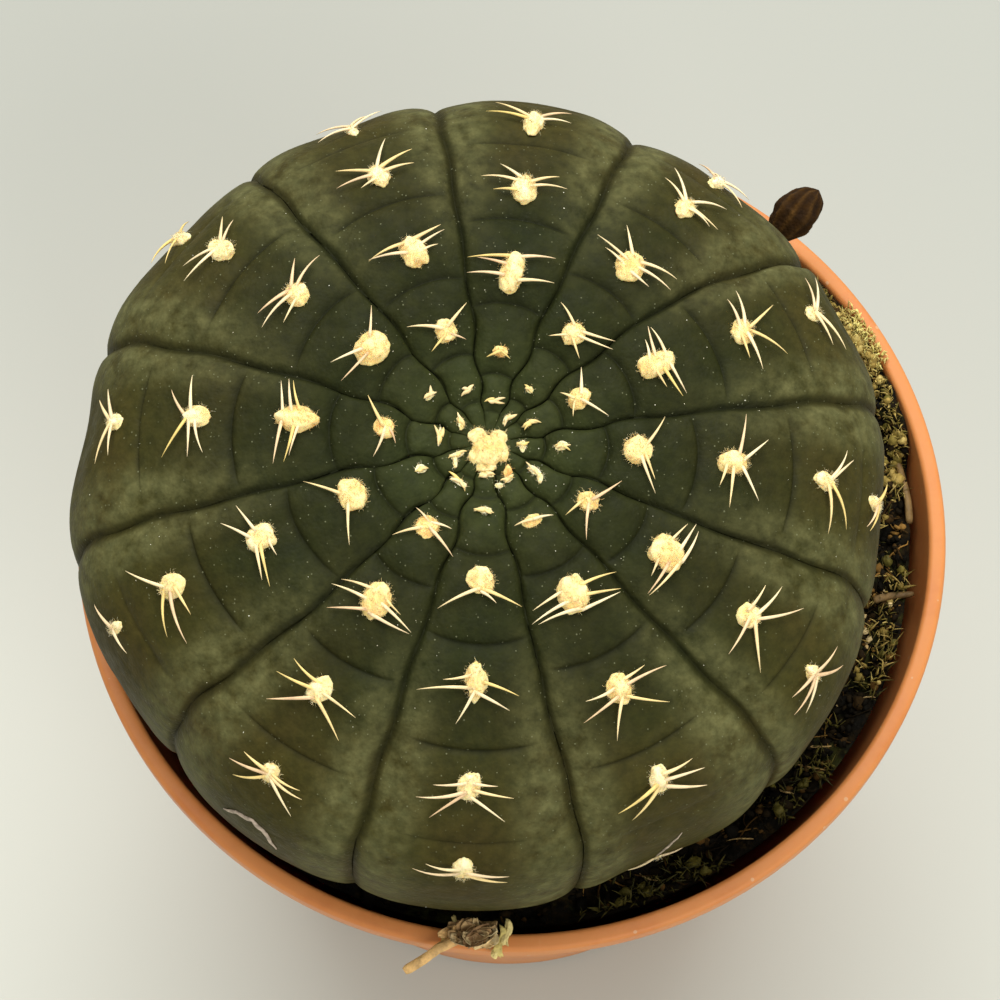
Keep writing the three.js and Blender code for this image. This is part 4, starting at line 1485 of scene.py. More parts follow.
@dataclass
class AreoleWork:
    """The woolly areoles and their spines.

    A clump of the crown has its pixel, its size across and down in pixels, and its tint.
    """

    stem: CactusStem
    view: Viewpoint
    pixels_per_mm: float = 15.8
    least_seen: float = 0.45
    pad_height: float = 0.62
    pad_sink: float = 0.05
    young_size: float = 0.8
    young_height: float = 0.75
    solid_share: float = 0.86
    hair_density: float = 66.0
    fewest_hairs: int = 14
    hair_length: Pair = (0.12, 0.36)
    hair_radius: float = 0.0105
    spine_radius: Pair = (0.1, 0.135)
    spine_parts: int = 8
    longest_spine: float = 3.8
    young_step: float = 1.0
    crown_clumps: tuple[tuple[float, float, float, float, float], ...] = (
        (489, 450, 38, 38, 0.5),
        (478, 437, 22, 20, 0.45),
        (499, 437, 18, 15, 0.55),
        (503, 455, 15, 19, 0.5),
        (486, 467, 26, 13, 0.55),
        (474, 457, 13, 17, 0.5),
        (508, 473, 11, 17, 0.2),
        (461, 424, 7, 14, 0.6),
        (455, 462, 6, 15, 0.7),
        (523, 446, 7, 13, 0.8),
        (500, 486, 12, 6, 0.8),
        (540, 478, 7, 12, 0.7),
    )
    seed: int = 41

    def __post_init__(self) -> None:
        """Makes the small shapes that are copied."""
        self.draw = random.Random(self.seed)
        self.pad_ball = ball_shape(4)
        self.hair_rod = strand_shape(3, 2)
        self.spine_rod = strand_shape(6, self.spine_parts)
        self.pads = Bunch("areole_wool")
        self.hairs = Bunch("wool_hairs")
        self.spines = Bunch("spines")

    def seen_share(self, direction: Points) -> float:
        """How long a direction looks in the photograph, as a share of its length."""
        facing = float(direction @ self.view.axes()[2])
        return max(math.sqrt(max(1 - facing**2, 0.0)), self.least_seen)

    def add_pad(self, areole: Areole, seat: Seat, own_tint: float | None = None) -> None:
        """Adds one felted pad and its loose hairs.

        Args:
            areole: the areole's sizes.
            seat: its place on the skin.
            own_tint: its tint, where the areole's age doesn't give it.
        """
        draw = self.draw
        half_wide = areole.wide / 2 / self.pixels_per_mm / self.seen_share(seat.side)
        half_long = areole.long / 2 / self.pixels_per_mm / self.seen_share(seat.ahead)
        young = areole.step < self.young_step
        height = self.pad_height * math.sqrt(max(half_wide * half_long, 0.05))
        height *= self.young_height if young else 1.0
        size = np.array((half_wide, half_long, height))
        ball = self.pad_ball.points
        number = draw.randrange(10000)
        felt = 0.3 * value_noise(ball, 0.8, number) + 0.17 * value_noise(ball, 0.33, number + 1)
        felt = felt + 0.08 * value_noise(ball, 0.16, number + 2)
        swollen = ball * (self.solid_share + 0.55 * felt)[:, None]
        swollen[:, 2] *= np.where(swollen[:, 2] > 0, 1.0, 0.35)
        age = min(max(areole.step / 5, 0.0), 1.0)
        tint = 0.25 + 0.5 * age + draw.uniform(-0.08, 0.08)
        if young:
            tint = draw.uniform(0.45, 0.9)
        if own_tint is not None:
            tint = own_tint
        # Painted shade: the pad's tint falls, darker and more orange, towards its rim and underside where it
        # meets the skin.
        edge = 1 - np.clip(ball[:, 2], 0.0, 1.0)
        points = placed(swollen * size, seat.root, seat.side, seat.ahead, seat.normal)
        self.pads.add(self.pad_ball, points, tint + 0.7 * felt - 0.26 * edge**2)
        area = math.pi * half_wide * half_long
        for _ in range(int(self.hair_density * area) + self.fewest_hairs):
            self.add_hair(seat, size, young, tint)

    def add_hair(self, seat: Seat, size: Points, young: bool, tint: float) -> None:
        """Adds one loose hair to a pad of this size."""
        draw = self.draw
        ways = (seat.side, seat.ahead, seat.normal)
        turn = draw.uniform(0, 2 * math.pi)
        out = math.sqrt(draw.uniform(0.02, 1.0))
        spot = np.array((out * math.cos(turn), out * math.sin(turn), math.sqrt(1 - 0.92 * out**2)))
        start = placed(spot * size * self.solid_share, seat.root, *ways)
        wild = random_vector(draw)
        direction = unit(unit((spot / size) @ np.stack(ways)) + 0.7 * wild)
        length = draw.uniform(*self.hair_length) * (self.young_size if young else 1.0)
        end = start + (direction - 0.25 * seat.normal) * length
        bend = start + direction * length * 0.6 + random_vector(draw, 0.11)
        radii = np.array((1.0, 0.75, 0.3)) * self.hair_radius * draw.uniform(0.8, 1.3)
        path = bent_path(start, bend, end, 2)
        points = along_path(self.hair_rod.points, path, radii, direction + 0.3 * wild)
        self.hairs.add(self.hair_rod, points, tint + draw.uniform(-0.1, 0.15))

    def spine_path(self, root: Points, tip: Points, normal: Points, length: float) -> Points:
        """A slightly arched path from the pad to the tip that stays clear of the skin."""
        sideways = unit(np.cross(tip - root, normal)) * self.draw.uniform(-0.09, 0.09)
        middle = (root + tip) / 2 + (normal * 0.17 + sideways) * length
        path = bent_path(root, middle, tip, self.spine_parts)
        for i in range(1, len(path)):
            spot, outward = self.stem.nearest(path[i])
            clearance = 0.2 - 0.1 * i / len(path)
            path[i] += outward * max(clearance - float((path[i] - spot) @ outward), 0.0)
        return path

    def add_spine(self, spine: Triple, seat: Seat) -> None:
        """Adds one spine whose direction and length look as in the photograph."""
        draw = self.draw
        along, angle, length = spine
        ahead = seat.ahead
        right, up, _ = self.view.axes()
        basis = np.array(((ahead @ right, seat.side @ right), (ahead @ up, seat.side @ up)))
        down = unit(basis[:, 0])
        turn = math.radians(angle)
        flat = length * np.array((math.cos(turn), math.sin(turn)))
        if abs(np.linalg.det(basis)) > 0.3:
            flat = np.linalg.solve(basis, flat @ np.array((down, (down[1], -down[0]))))
        reach = float(np.linalg.norm(flat))
        flat = flat * min(1.0, 1.3 * length / reach, self.longest_spine / reach)
        start = seat.root + ahead * along / self.seen_share(ahead) + seat.normal * 0.3
        end, outward = self.stem.nearest(seat.root + ahead * (along + flat[0]) + seat.side * flat[1])
        end = end + outward * draw.uniform(0.15, 0.42)
        path = self.spine_path(start, end, seat.normal, length)
        base = draw.uniform(*self.spine_radius) * (0.82 if length < 1.6 else 1.0)
        radii = base * (1 - np.linspace(0, 1, len(path)) ** 1.5) + 0.012
        points = along_path(self.spine_rod.points, path, radii, seat.normal, 0.8)
        self.spines.add(self.spine_rod, points, draw.uniform(0.0, 1.0))

    def add_young_spines(self, areole: Areole, seat: Seat) -> None:
        """Adds the short stout spines of an areole that is still opening."""
        draw = self.draw
        wider = areole.wide >= areole.long
        lying, other = (seat.side, seat.ahead) if wider else (seat.ahead, seat.side)
        reach = max(areole.wide, areole.long) / 2 / self.pixels_per_mm
        for way in (-1, 1, -1, 1):
            towards = unit(lying * way + other * draw.uniform(-0.55, 0.75))
            start = seat.root + seat.normal * 0.12 + other * draw.uniform(-0.12, 0.12)
            tip = seat.root + towards * reach * draw.uniform(0.55, 1.2)
            tip = tip + seat.normal * draw.uniform(0.08, 0.3)
            bend = (start + tip) / 2 + seat.normal * 0.14 + other * draw.uniform(-0.15, 0.15)
            path = bent_path(start, bend, tip, self.spine_parts)
            radii = draw.uniform(0.08, 0.13) * (1 - np.linspace(0, 1, len(path)) ** 2.2) + 0.016
            points = along_path(self.spine_rod.points, path, radii, seat.normal)
            self.spines.add(self.spine_rod, points, draw.uniform(0.0, 0.35))

    def make(self) -> None:
        """Builds and dresses all the areoles."""
        form = self.stem.form
        for bearing, areoles in AREOLES.items():
            for areole in areoles:
                seat = form.seat(areole.step, bearing)
                spot, outward = self.stem.nearest(seat.root)
                seat = replace(seat, root=spot - self.pad_sink * outward)
                young = areole.step < self.young_step
                share = self.young_size if young else 1.0
                self.add_pad(Areole(areole.step, share * areole.wide, share * areole.long), seat)
                for spine in areole.spines:
                    self.add_spine(spine, seat)
                if young and not areole.spines:
                    self.add_young_spines(areole, seat)
        seat = form.seat(form.crown_step + 0.01, 180.0)
        for across, down, wide, long, tint in self.crown_clumps:
            root, _ = self.stem.under_pixel(self.view, across, down)
            self.add_pad(Areole(self.young_step, wide, long), replace(seat, root=root), tint)
        wool = WOOL.make()
        self.pads.settle(wool, Slot.SKIN, "cactus")
        self.hairs.settle(wool, Slot.SKIN, "cactus")
        self.spines.settle(HORN.make(), Slot.SKIN, "cactus")


@dataclass
class SkinLitter:
    """Dust flecks, the corky scar and the pale fibre on the skin, some of them at known pixels."""

    stem: CactusStem
    view: Viewpoint
    fleck_count: int = 120
    fleck_radius: Pair = (0.02, 0.055)
    bright_flecks: tuple[Pair, ...] = ((556, 486), (489, 525), (520, 536), (655, 405))
    scar_pixels: tuple[Pair, ...] = ((224, 808), (238, 812), (253, 820), (266, 833), (277, 848))
    fibre_pixels: tuple[Pair, ...] = ((656, 856), (664, 849), (672, 842), (682, 832))
    strand_parts: int = 24
    seed: int = 57

    def lie(
        self, name: str, pixels: Sequence[Pair], radius: float, flatness: float, material: Material
    ) -> None:
        """Lays a strand on the skin under these pixels."""
        found = [self.stem.under_pixel(self.view, *pixel) for pixel in pixels]
        spots, normals = (np.array(column) for column in zip(*found))
        share = np.linspace(0, 1, self.strand_parts + 1)
        nearest = [self.stem.nearest(place) for place in interpolated(share, spots)]
        path = np.array([spot + outward * radius * flatness * 0.4 for spot, outward in nearest])
        rod = strand_shape(10, self.strand_parts)
        radii = radius * np.sin(np.pi * np.clip(share, 0.02, 0.98)) ** 0.4
        points = along_path(rod.points, path, radii, unit(np.mean(normals, axis=0)), flatness)
        strand = Bunch(name)
        strand.add(rod, points + 0.25 * radius * noise_vectors(points, 0.35, 60), 0.5)
        strand.settle(material, Slot.SKIN, "cactus")

    def make(self) -> None:
        """Builds and dresses what lies on the skin."""
        draw = random.Random(self.seed)
        flecks = Bunch("dust_flecks")
        ball = ball_shape(1)
        form = self.stem.form
        spots = [self.stem.under_pixel(self.view, *pixel) for pixel in self.bright_flecks]
        for _ in range(self.fleck_count):
            angle = form.angle(draw.uniform(0.2, 5.4))
            place = form.to_row(form.smooth_stem(angle, draw.uniform(0, 360)))
            spots.append(self.stem.nearest(place))
        for number, (spot, normal) in enumerate(spots):
            size = draw.uniform(*self.fleck_radius) * (1.6 if number < len(self.bright_flecks) else 1.0)
            side = unit(np.cross(normal, (0.3, 0.9, 0.1)))
            loose = turned(ball.points * (1.0, draw.uniform(0.4, 1.0), 0.8), draw) * size
            loose = loose * (1.0, 1.0, 0.5) + (0.0, 0.0, 0.02)
            flecks.add(ball, placed(loose, spot, side, np.cross(normal, side), normal), draw.random())
        flecks.settle(DUST.make(), Slot.SKIN, "cactus")
        cork = CORK.make()
        self.lie("corky_scar", self.scar_pixels, 0.2, 0.6, cork)
        self.lie("pale_fibre", self.fibre_pixels, 0.09, 0.8, cork)


@dataclass
class SoilCover:
    """Crumbs, fibres and moss on the peat.

    An arc of moss has its first and last bearing, its count, its darkest and palest tint, and how
    far it reaches past the soil's rim.
    """

    bed: PeatBed
    crumbs: int = 2300
    crumb_radius: Pair = (0.1, 0.42)
    lumps: int = 60
    lump_radius: Pair = (0.45, 0.95)
    fibres: int = 190
    moss_arcs: tuple[Arc, ...] = (
        (42, 56, 480, 0.2, 0.62, -0.25),
        (55, 66, 420, 0.5, 1.0, -0.15),
        (55.5, 65, 330, 0.75, 1.0, 0.5),
        (58, 61, 90, 0.9, 1.0, 0.1),
        (65, 82, 480, 0.2, 0.8, -0.25),
        (82, 114, 240, 0.1, 0.8, -0.15),
        (114, 132, 90, 0.05, 0.4, -0.15),
        (132, 170, 200, 0.0, 0.26, -0.15),
    )
    cushion_arcs: tuple[Arc, ...] = (
        (43, 57, 50, 0.3, 0.55, -0.4),
        (55, 68, 46, 0.5, 0.8, -0.3),
        (67, 82, 40, 0.3, 0.7, -0.4),
        (82, 114, 14, 0.2, 0.75, -0.15),
        (130, 165, 12, 0.1, 0.34, -0.15),
    )
    cushion_radius: Pair = (0.22, 0.55)
    moss_spread: float = 1.15
    moss_bareness: float = -0.12
    bank_end: float = 70.0
    bank_strands: float = 0.6
    pale_bearings: Pair = (44.0, 112.0)
    seed: int = 73

    def place(self, draw: random.Random) -> Pair:
        """Draws a place on the soil's visible band, more often on the right."""
        while True:
            bearing = math.radians(draw.uniform(0, 360))
            if draw.random() < 0.55:
                bearing = math.radians(draw.gauss(95, 42))
            rim = float(self.bed.rim(math.sin(bearing), math.cos(bearing)))
            radius = rim - 0.3 - abs(draw.gauss(0, 3.0))
            if radius > self.bed.visible_from:
                return radius * math.sin(bearing), radius * math.cos(bearing)

    def ground(self, across: Points | float, deep: Points | float) -> tuple[Points, Points]:
        """Height of the soil, and the room above it under the stem."""
        height = self.bed.top(across, deep)
        return height, self.bed.under_stem(across, deep) - height

    def add_grains(
        self, bunch: Bunch, count: int, radii: Pair, shapes: Sequence[Shape], draw: random.Random
    ) -> None:
        """Adds grains of several shapes on the soil."""
        places = np.array([(*self.place(draw), 0.0) for _ in range(count)])
        heights, rooms = self.ground(places[:, 0], places[:, 1])
        clumps = value_noise(places, 2.4, 79)
        for (across, deep, _), height, room, clump in zip(places, heights, rooms, clumps):
            size = radii[0] + (radii[1] - radii[0]) * draw.random() ** 2.2
            if room < size:
                continue
            shape = draw.choice(shapes)
            stretch = (1.0, draw.uniform(0.55, 1.0), draw.uniform(0.4, 0.85))
            points = turned(shape.points * stretch, draw) * size
            centre = np.array((across, deep, height + size * draw.uniform(0.1, 0.5)))
            bearing = math.degrees(math.atan2(across, deep))
            pale = self.pale_bearings[0] < bearing < self.pale_bearings[1]
            tint = draw.random() ** 1.6 + 0.4 * clump if pale else 0.62 * draw.random() ** 2.4
            bunch.add(shape, points + centre, tint)

    def add_fibres(self, bunch: Bunch, draw: random.Random) -> None:
        """Adds the peat's loose fibres."""
        rod = strand_shape(4, 6)
        share = np.linspace(-0.5, 0.5, 7)
        for _ in range(self.fibres):
            across, deep = self.place(draw)
            length = draw.uniform(0.9, 3.4)
            turn = draw.uniform(0, 2 * math.pi)
            wave = 0.16 * length * np.sin(3 * share + turn)
            x = across + share * length * math.cos(turn) - wave * math.sin(turn)
            y = deep + share * length * math.sin(turn) + wave * math.cos(turn)
            inwards = np.minimum((self.bed.rim(x, y) - 0.15) / np.hypot(x, y), 1.0)
            x = x * inwards
            y = y * inwards
            height, room = self.ground(x, y)
            rise = np.minimum(0.12 + 0.25 * (0.25 - share**2), np.maximum(room - 0.1, 0.0))
            radii = draw.uniform(0.035, 0.085) * np.array((0.5, 0.9, 1.0, 1.0, 0.95, 0.8, 0.35))
            path = np.stack((x, y, height + rise), axis=-1)
            points = along_path(rod.points, path, radii, UPWARDS, 0.7)
            bunch.add(rod, points, draw.uniform(0.2, 0.95))

    def mossy_place(
        self, first: float, last: float, reach: float, draw: random.Random
    ) -> tuple[float, float, float, float]:
        """Draws a place where moss grows in clumps between two bearings, with its height and room."""
        while True:
            bearing = math.radians(draw.uniform(first, last))
            across, deep = math.sin(bearing), math.cos(bearing)
            radius = float(self.bed.rim(across, deep)) + reach - abs(draw.gauss(0, self.moss_spread))
            x = radius * across
            y = radius * deep
            growth = value_noise(np.array((x, y, 0.0)), 1.7, 87)
            if first < self.bank_end or growth > self.moss_bareness:
                height, room = self.ground(x, y)
                return x, y, POT_HEIGHT if radius > INNER_LIP else float(height), float(room)

    def add_cushions(self, bunch: Bunch, draw: random.Random) -> None:
        """Adds frayed cushions of moss."""
        cushion = ball_shape(3, 0.5, 20)
        for first, last, count, darkest, palest, reach in self.cushion_arcs:
            for _ in range(count):
                x, y, height, room = self.mossy_place(first, last, reach, draw)
                size = min(draw.uniform(*self.cushion_radius), 0.6 * max(room, 0.3))
                points = turned(cushion.points * (1.0, draw.uniform(0.6, 1.0), 0.7), draw) * size
                fray = 0.16 * value_noise(points, 0.16, 88)
                points = points * (1 + fray)[:, None] + np.array((x, y, height + 0.25 * size))
                bunch.add(cushion, points, draw.uniform(darkest, palest) + 0.3 * fray)

    def add_strands(self, bunch: Bunch, draw: random.Random) -> None:
        """Adds short leafy strands of moss."""
        rod = strand_shape(3, 4)
        for first, last, count, darkest, palest, reach in self.moss_arcs:
            for _ in range(count):
                x, y, height, room = self.mossy_place(first, last, reach, draw)
                length = min(draw.uniform(0.5, 1.35), max(room, 0.3))
                length *= self.bank_strands if first < self.bank_end else 1.0
                lean = np.array((draw.gauss(0, 0.9), draw.gauss(0, 0.9), 1.0))
                start = np.array((x, y, height - 0.05))
                end = start + unit(lean) * length
                limit = INNER_LIP + max(reach, -0.15)
                end[:2] *= min(1.0, limit / math.hypot(end[0], end[1]))
                bend = start + lean * (0.1, 0.1, 0.6) * length
                radii = np.array((0.05, 0.08, 0.09, 0.06, 0.02)) * draw.uniform(0.6, 1.6)
                flat_way = np.array((math.sin(9 * x), math.cos(7 * y), 0.2))
                path = bent_path(start, bend, end, 4)
                points = along_path(rod.points, path, radii, flat_way, 0.45)
                bunch.add(rod, points, draw.uniform(darkest, palest))

    def make(self) -> None:
        """Builds and dresses the soil's cover."""
        draw = random.Random(self.seed)
        grains = Bunch("peat_crumbs")
        small = [ball_shape(1, 0.35, i) for i in range(4)]
        large = [ball_shape(2, 0.5, 10 + i) for i in range(4)]
        self.add_grains(grains, self.crumbs, self.crumb_radius, small, draw)
        self.add_grains(grains, self.lumps, self.lump_radius, large, draw)
        fibres = Bunch("peat_fibres")
        self.add_fibres(fibres, draw)
        moss = Bunch("moss_tufts")
        self.add_cushions(moss, draw)
        self.add_strands(moss, draw)
        grit = GRIT.make()
        grains.settle(grit, Slot.SOIL, "soil")
        fibres.settle(grit, Slot.SOIL, "soil")
        moss.settle(MOSS.make(), Slot.SOIL, "soil")


@dataclass
class DriedBud:
    """The shrivelled dark bud on its olive-brown stub.

    outline holds shares of the length and the widths there, as shares of the radius.
    """

    stem: CactusStem
    bearing: float = 45.0
    step: float = 5.14
    length: float = 6.8
    radius: float = 1.45
    lift: float = 26.0
    ridges: int = 9
    droop: float = 0.35
    columns: int = 54
    rows: int = 56
    outline: tuple[Pair, ...] = (
        (0.0, 0.5),
        (0.26, 0.44),
        (0.36, 0.52),
        (0.45, 0.7),
        (0.56, 0.9),
        (0.66, 1.0),
        (0.78, 0.9),
        (0.88, 0.72),
        (0.95, 0.5),
        (1.0, 0.28),
    )

    def axis(self) -> Points:
        """The bud's direction, in the row frame."""
        form = self.stem.form
        flat = unit(form.normal(self.step, self.bearing) * (1.0, 1.0, 0.0))
        lift = math.radians(self.lift)
        return unit((flat * math.cos(lift) + UPWARDS * math.sin(lift)) @ form.matrix())

    def make(self) -> None:
        """Builds and dresses the bud."""
        axis = self.axis()
        foot, _ = self.stem.nearest(self.stem.form.seat(self.step, self.bearing).root)
        mesh, ball, down = sphere_grid("shrivelled_bud", self.columns, self.rows)
        share = 1 - down
        around = np.arctan2(ball[:, 1], ball[:, 0])
        width = np.interp(share, *zip(*self.outline)) * self.radius
        closed = np.minimum(np.sin(np.pi * share) * 5.0, 1.0) ** 0.5
        swell = smoothstep(share, 0.3, 0.45)
        ridge = np.abs(np.sin(self.ridges / 2 * around + 1.6 * np.sin(4 * share) + share))
        scales = np.mod(3.4 * share + 0.35 * np.sin(3 * around), 1.0)
        tube = np.stack((np.cos(around), np.sin(around), 3 * share), axis=-1)
        crumple = 0.06 * value_noise(tube, 0.45, 81) + 0.035 * value_noise(tube, 0.18, 82)
        width = width * closed * (1 + swell * (0.13 * ridge - 0.07 + 0.07 * scales) + crumple)
        side = unit(np.cross(axis, UPWARDS))
        local = tube * np.stack((width, width, np.full_like(share, self.length / 3)), axis=-1)
        local[:, 1] -= self.droop * share**2
        move_points(mesh, placed(local, foot, side, np.cross(side, axis), axis))
        shape = bmesh.new()
        shape.from_mesh(mesh)
        bmesh.ops.recalc_face_normals(shape, faces=shape.faces[:])
        shape.to_mesh(mesh)
        shape.free()
        tint = 0.55 * (1 - swell) + swell * (0.1 + 0.32 * ridge**4 + 0.12 * scales**3)
        store_values(mesh, "tint", np.clip(tint, 0, 1))
        settle(mesh, HUSK.make(), "dried_bud")


@dataclass
class WitheredFlower:
    """The crumpled brown flower on the lip's front, with its stalk.

    A shred of the tissue beside it has its place, its size and its length as a share of that.
    """

    centre: Triple = (-2.45, -29.0, POT_HEIGHT + 0.1)
    size: Triple = (4.1, 2.1, 1.4)
    turn: float = 12.0
    stalk: tuple[Triple, ...] = (
        (-3.4, -29.4, 52.75),
        (-4.5, -30.0, 52.85),
        (-5.6, -30.8, 52.75),
        (-6.7, -31.45, 52.5),
    )
    stalk_parts: int = 20
    petals: int = 36
    petal_thickness: float = 0.03
    shreds: tuple[tuple[float, float, float, float], ...] = (
        (-0.1, -28.9, 0.75, 1.1),
        (-0.5, -29.5, 0.85, 1.2),
        (-0.8, -30.1, 0.6, 0.8),
        (-4.3, -29.2, 0.55, 0.8),
        (-3.5, -28.2, 0.5, 0.9),
    )
    seed: int = 91

    def sheet(self) -> Shape:
        """The flat closed sheet that each petal is bent from."""
        shape = bmesh.new()
        bmesh.ops.create_grid(shape, x_segments=16, y_segments=10, size=1.0)
        bmesh.ops.solidify(shape, geom=shape.faces[:], thickness=self.petal_thickness)
        return Shape(shape, "petal_sheet")

    def petal(self, flat: Points, number: int, draw: random.Random) -> Points:
        """The places of a flat sheet's points in one crumpled petal."""
        share = (flat[:, 0] + 1) / 2
        noise_at = np.stack((2 * share, flat[:, 1], np.full_like(share, number)), axis=-1)
        crumple = 0.3 * value_noise(noise_at, 0.6, 95) + 0.14 * value_noise(noise_at, 0.25, 96)
        body = np.sin(np.pi * np.clip(share * 0.86 + 0.07, 0, 1)) ** 0.6
        long = draw.uniform(0.4, 1.05)
        wide = draw.uniform(0.25, 0.55)
        curl = draw.uniform(0.15, 0.7)
        x = long * flat[:, 0]
        y = wide * flat[:, 1] * body * (1 + 0.4 * crumple)
        z = curl * (flat[:, 1] ** 2 - 0.3) * wide + 0.9 * crumple * wide + 1.5 * flat[:, 2] + 0.2 * x**2
        axis = Vector((draw.gauss(0, 1), draw.gauss(0, 1), draw.gauss(0, 0.3))).normalized()
        tilt = Matrix.Rotation(draw.uniform(-1.1, 1.1), 3, axis)
        swing = Matrix.Rotation(math.radians(self.turn) + draw.gauss(0, 0.6), 3, "Z")
        places = np.stack((x, y, z), axis=-1) @ np.array(swing @ tilt).T
        shift = (draw.uniform(-0.62, 0.62) / 2, draw.uniform(-0.55, 0.5) / 2, draw.uniform(0.3, 0.75))
        places = places + np.array(self.size) * shift
        places[:, 2] = np.maximum(places[:, 2], 0.04 + 0.05 * np.abs(crumple))
        return places + np.array(self.centre)

    def core(self, ball: Points) -> Points:
        """The places of a ball's points in the flower's folded middle."""
        folds = 0.8 + 0.25 * value_noise(ball, 0.6, 97) + 0.12 * value_noise(ball, 0.25, 98)
        half = np.array(self.size) / 2 * (0.72, 0.72, 0.62)
        turn = np.array(Matrix.Rotation(math.radians(self.turn), 3, "Z"))
        places = (ball * folds[:, None] * half) @ turn.T
        places[:, 2] = np.maximum(places[:, 2] + half[2], 0.05)
        return places + np.array(self.centre)

    def make(self) -> None:
        """Builds and dresses the flower and its stalk."""
        draw = random.Random(self.seed)
        petals = Bunch("crumpled_petals")
        sheet = self.sheet()
        for number in range(self.petals):
            petals.add(sheet, self.petal(sheet.points, number, draw), draw.random() ** 1.2 * 0.95)
        middle = ball_shape(4)
        petals.add(middle, self.core(middle.points), 0.3)
        stalk = Bunch("flower_stalk")
        rod = strand_shape(12, self.stalk_parts)
        share = np.linspace(0, 1, self.stalk_parts + 1)
        radii = np.interp(share, (0, 0.5, 0.94, 1), (0.36, 0.32, 0.34, 0.24))
        points = along_path(rod.points, interpolated(share, np.array(self.stalk)), radii, UPWARDS, 0.85)
        stalk.add(rod, points + 0.035 * noise_vectors(points, 0.4, 99), 0.95)
        bits = Bunch("yellow_green_bits")
        bit = ball_shape(3, 0.3, 5)
        for x, y, size, long in self.shreds:
            torn = noise_vectors(bit.points + 3 * x, 0.55, 102)
            loose = (bit.points + 0.42 * torn) * (0.34, long, 0.14) * size
            loose[:, 0] += 0.22 * size * np.sin(2.2 * loose[:, 1] / size + x)
            loose[:, 2] += 0.1 * size * np.cos(3.0 * loose[:, 1] / size + y)
            bits.add(bit, loose + np.array((x, y, POT_HEIGHT + 0.3)), draw.random())
        papery = PAPERY.make()
        petals.settle(papery, Slot.FLOWER, "withered_flower")
        stalk.settle(papery, Slot.FLOWER, "withered_flower")
        bits.settle(FRESH.make(), Slot.FLOWER, "withered_flower")


@dataclass
class Straws:
    """Two bent bits of dry straw on the soil. Each has its CAD node and its two ends."""

    bed: PeatBed
    radius: float = 0.27
    parts: int = 18
    ends: tuple[tuple[str, Pair, Pair], ...] = (
        ("straw_1", (25.2, -4.7), (28.0, -4.2)),
        ("straw_2", (27.9, 0.9), (27.2, 5.8)),
    )

    def make(self) -> None:
        """Builds and dresses both."""
        dry = DRY_STRAW.make()
        rod = strand_shape(14, self.parts)
        ridge = 1 + 0.09 * np.sin(7 * np.arctan2(rod.points[:, 1], rod.points[:, 0]))
        ribbed = rod.points * np.stack((ridge, ridge, np.ones_like(ridge)), axis=-1)
        share = np.linspace(0, 1, self.parts + 1)
        radii = self.radius * np.interp(share, (0, 0.05, 0.9, 1.0), (0.75, 1.0, 0.85, 0.5))
        for number, (node, start, end) in enumerate(self.ends):
            bow = 0.22 * np.sin(np.pi * share) * (1 if number else -1)
            x = start[0] + (end[0] - start[0]) * share + bow * (end[1] - start[1]) / 5
            y = start[1] + (end[1] - start[1]) * share - bow * (end[0] - start[0]) / 5
            ground = float(np.mean(self.bed.top(x, y)))
            z = ground + self.radius + 0.5 * GAP + 0.12 * np.sin(2.2 * np.pi * share)
            points = along_path(ribbed, np.stack((x, y, z), axis=-1), radii, UPWARDS, 0.7)
            straw = Bunch(f"bent_{node}")
            straw.add(rod, points, 0.4 + 0.4 * number)
            straw.settle(dry, Slot.STRAW, node)


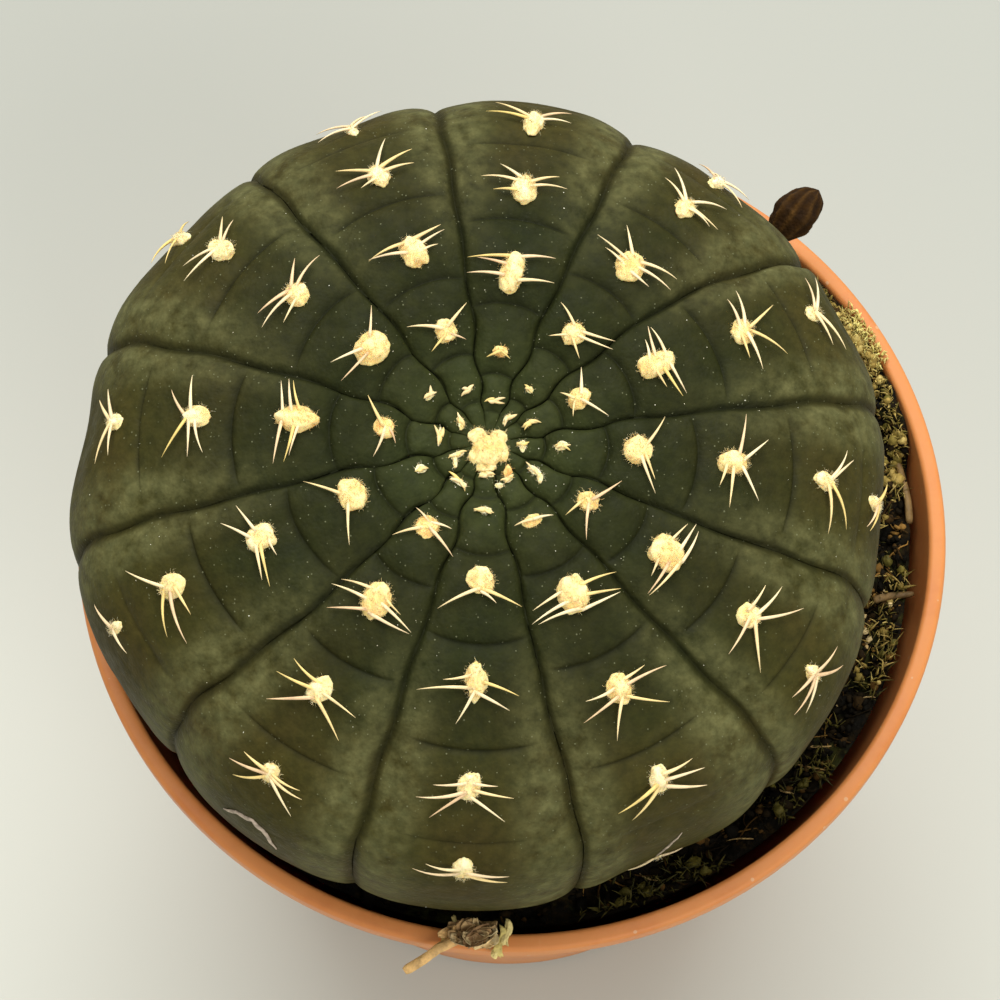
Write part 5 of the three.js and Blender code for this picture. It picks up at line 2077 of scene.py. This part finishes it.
@dataclass(frozen=True)
class Studio:
    """Pale floor, soft lights and the world's fill. Its lengths are in metres."""

    floor_colour: Colour = from_screen(188, 190, 180)
    floor_half: float = 3.0
    air_colour: Colour = (1.0, 0.99, 0.96, 1.0)
    fill: float = 0.56
    key_energy: float = 21.6
    key_place: Triple = (-0.02, 0.68, 1.08)
    key_size: float = 1.15
    front_energy: float = 3.2
    front_place: Triple = (0.36, -0.54, 0.62)
    front_size: float = 0.45

    def floor(self) -> None:
        """The floor that the pot stands on, with painted light: lighter towards the front, darker towards
        the back.
        """
        shape = bmesh.new()
        bmesh.ops.create_grid(shape, x_segments=8, y_segments=8, size=self.floor_half)
        recipe = Recipe("pale_floor")
        # Painted light: the floor's colour grows lighter towards the front and a little to the left, and
        # darker towards the back. This evens out the fall of the lamps' light and the pot's soft shadow.
        across = recipe.add("SeparateXYZ", "X", {"Vector": recipe.place})
        painted_light_slant = recipe.maths("SUBTRACT", recipe.maths("MULTIPLY", across, -0.3), across.node.outputs["Y"])
        shade = recipe.remap(painted_light_slant, -0.09, 0.09, 0.76, 1.12)
        colour = recipe.blend(self.floor_colour, shade, 1.0, "MULTIPLY")
        recipe.finish(Base_Color=colour, Roughness=0.9, Specular_IOR_Level=0.2)
        floor = in_scene("floor", to_mesh(shape, "floor"))
        floor.data.materials.append(recipe.material)

    def lamp(self, name: str, place: Triple, size: float, energy: float) -> None:
        """One square soft light that faces the plant."""
        data = bpy.data.lights.new(name, "AREA")
        data.shape = "SQUARE"
        data.size = size
        data.energy = energy
        lamp = in_scene(name, data)
        lamp.location = place
        aim = Vector((0.0, 0.0, POT_HEIGHT * MM)) - Vector(place)
        lamp.rotation_euler = aim.to_track_quat("-Z", "Y").to_euler()

    def make(self) -> None:
        """Sets up the whole studio."""
        self.floor()
        self.lamp("key_light", self.key_place, self.key_size, self.key_energy)
        self.lamp("front_light", self.front_place, self.front_size, self.front_energy)
        world = bpy.data.worlds.new("studio_air")
        world.use_nodes = True
        air = world.node_tree.nodes["Background"]
        air.inputs["Color"].default_value = self.air_colour
        air.inputs["Strength"].default_value = self.fill
        bpy.context.scene.world = world
        bpy.context.scene.view_settings.view_transform = "Standard"


def main() -> None:
    """Builds the scene in order."""
    logging.basicConfig(level=logging.INFO, format="%(asctime)s %(message)s")
    view = Viewpoint()
    view.place_camera()
    Studio().make()
    for effect in Effect:
        EffectGroup(effect).write()
    form = StemForm()
    pot = NurseryPot(PlasticFinish())
    pot.make()
    bed = PeatBed(form, PeatFinish(), pot)
    bed.make()
    SoilCover(bed).make()
    Straws(bed).make()
    stem = CactusStem(form, SkinFinish())
    stem.make()
    AreoleWork(stem, view).make()
    SkinLitter(stem, view).make()
    DriedBud(stem).make()
    WitheredFlower().make()


if __name__ == "__main__":
    main()
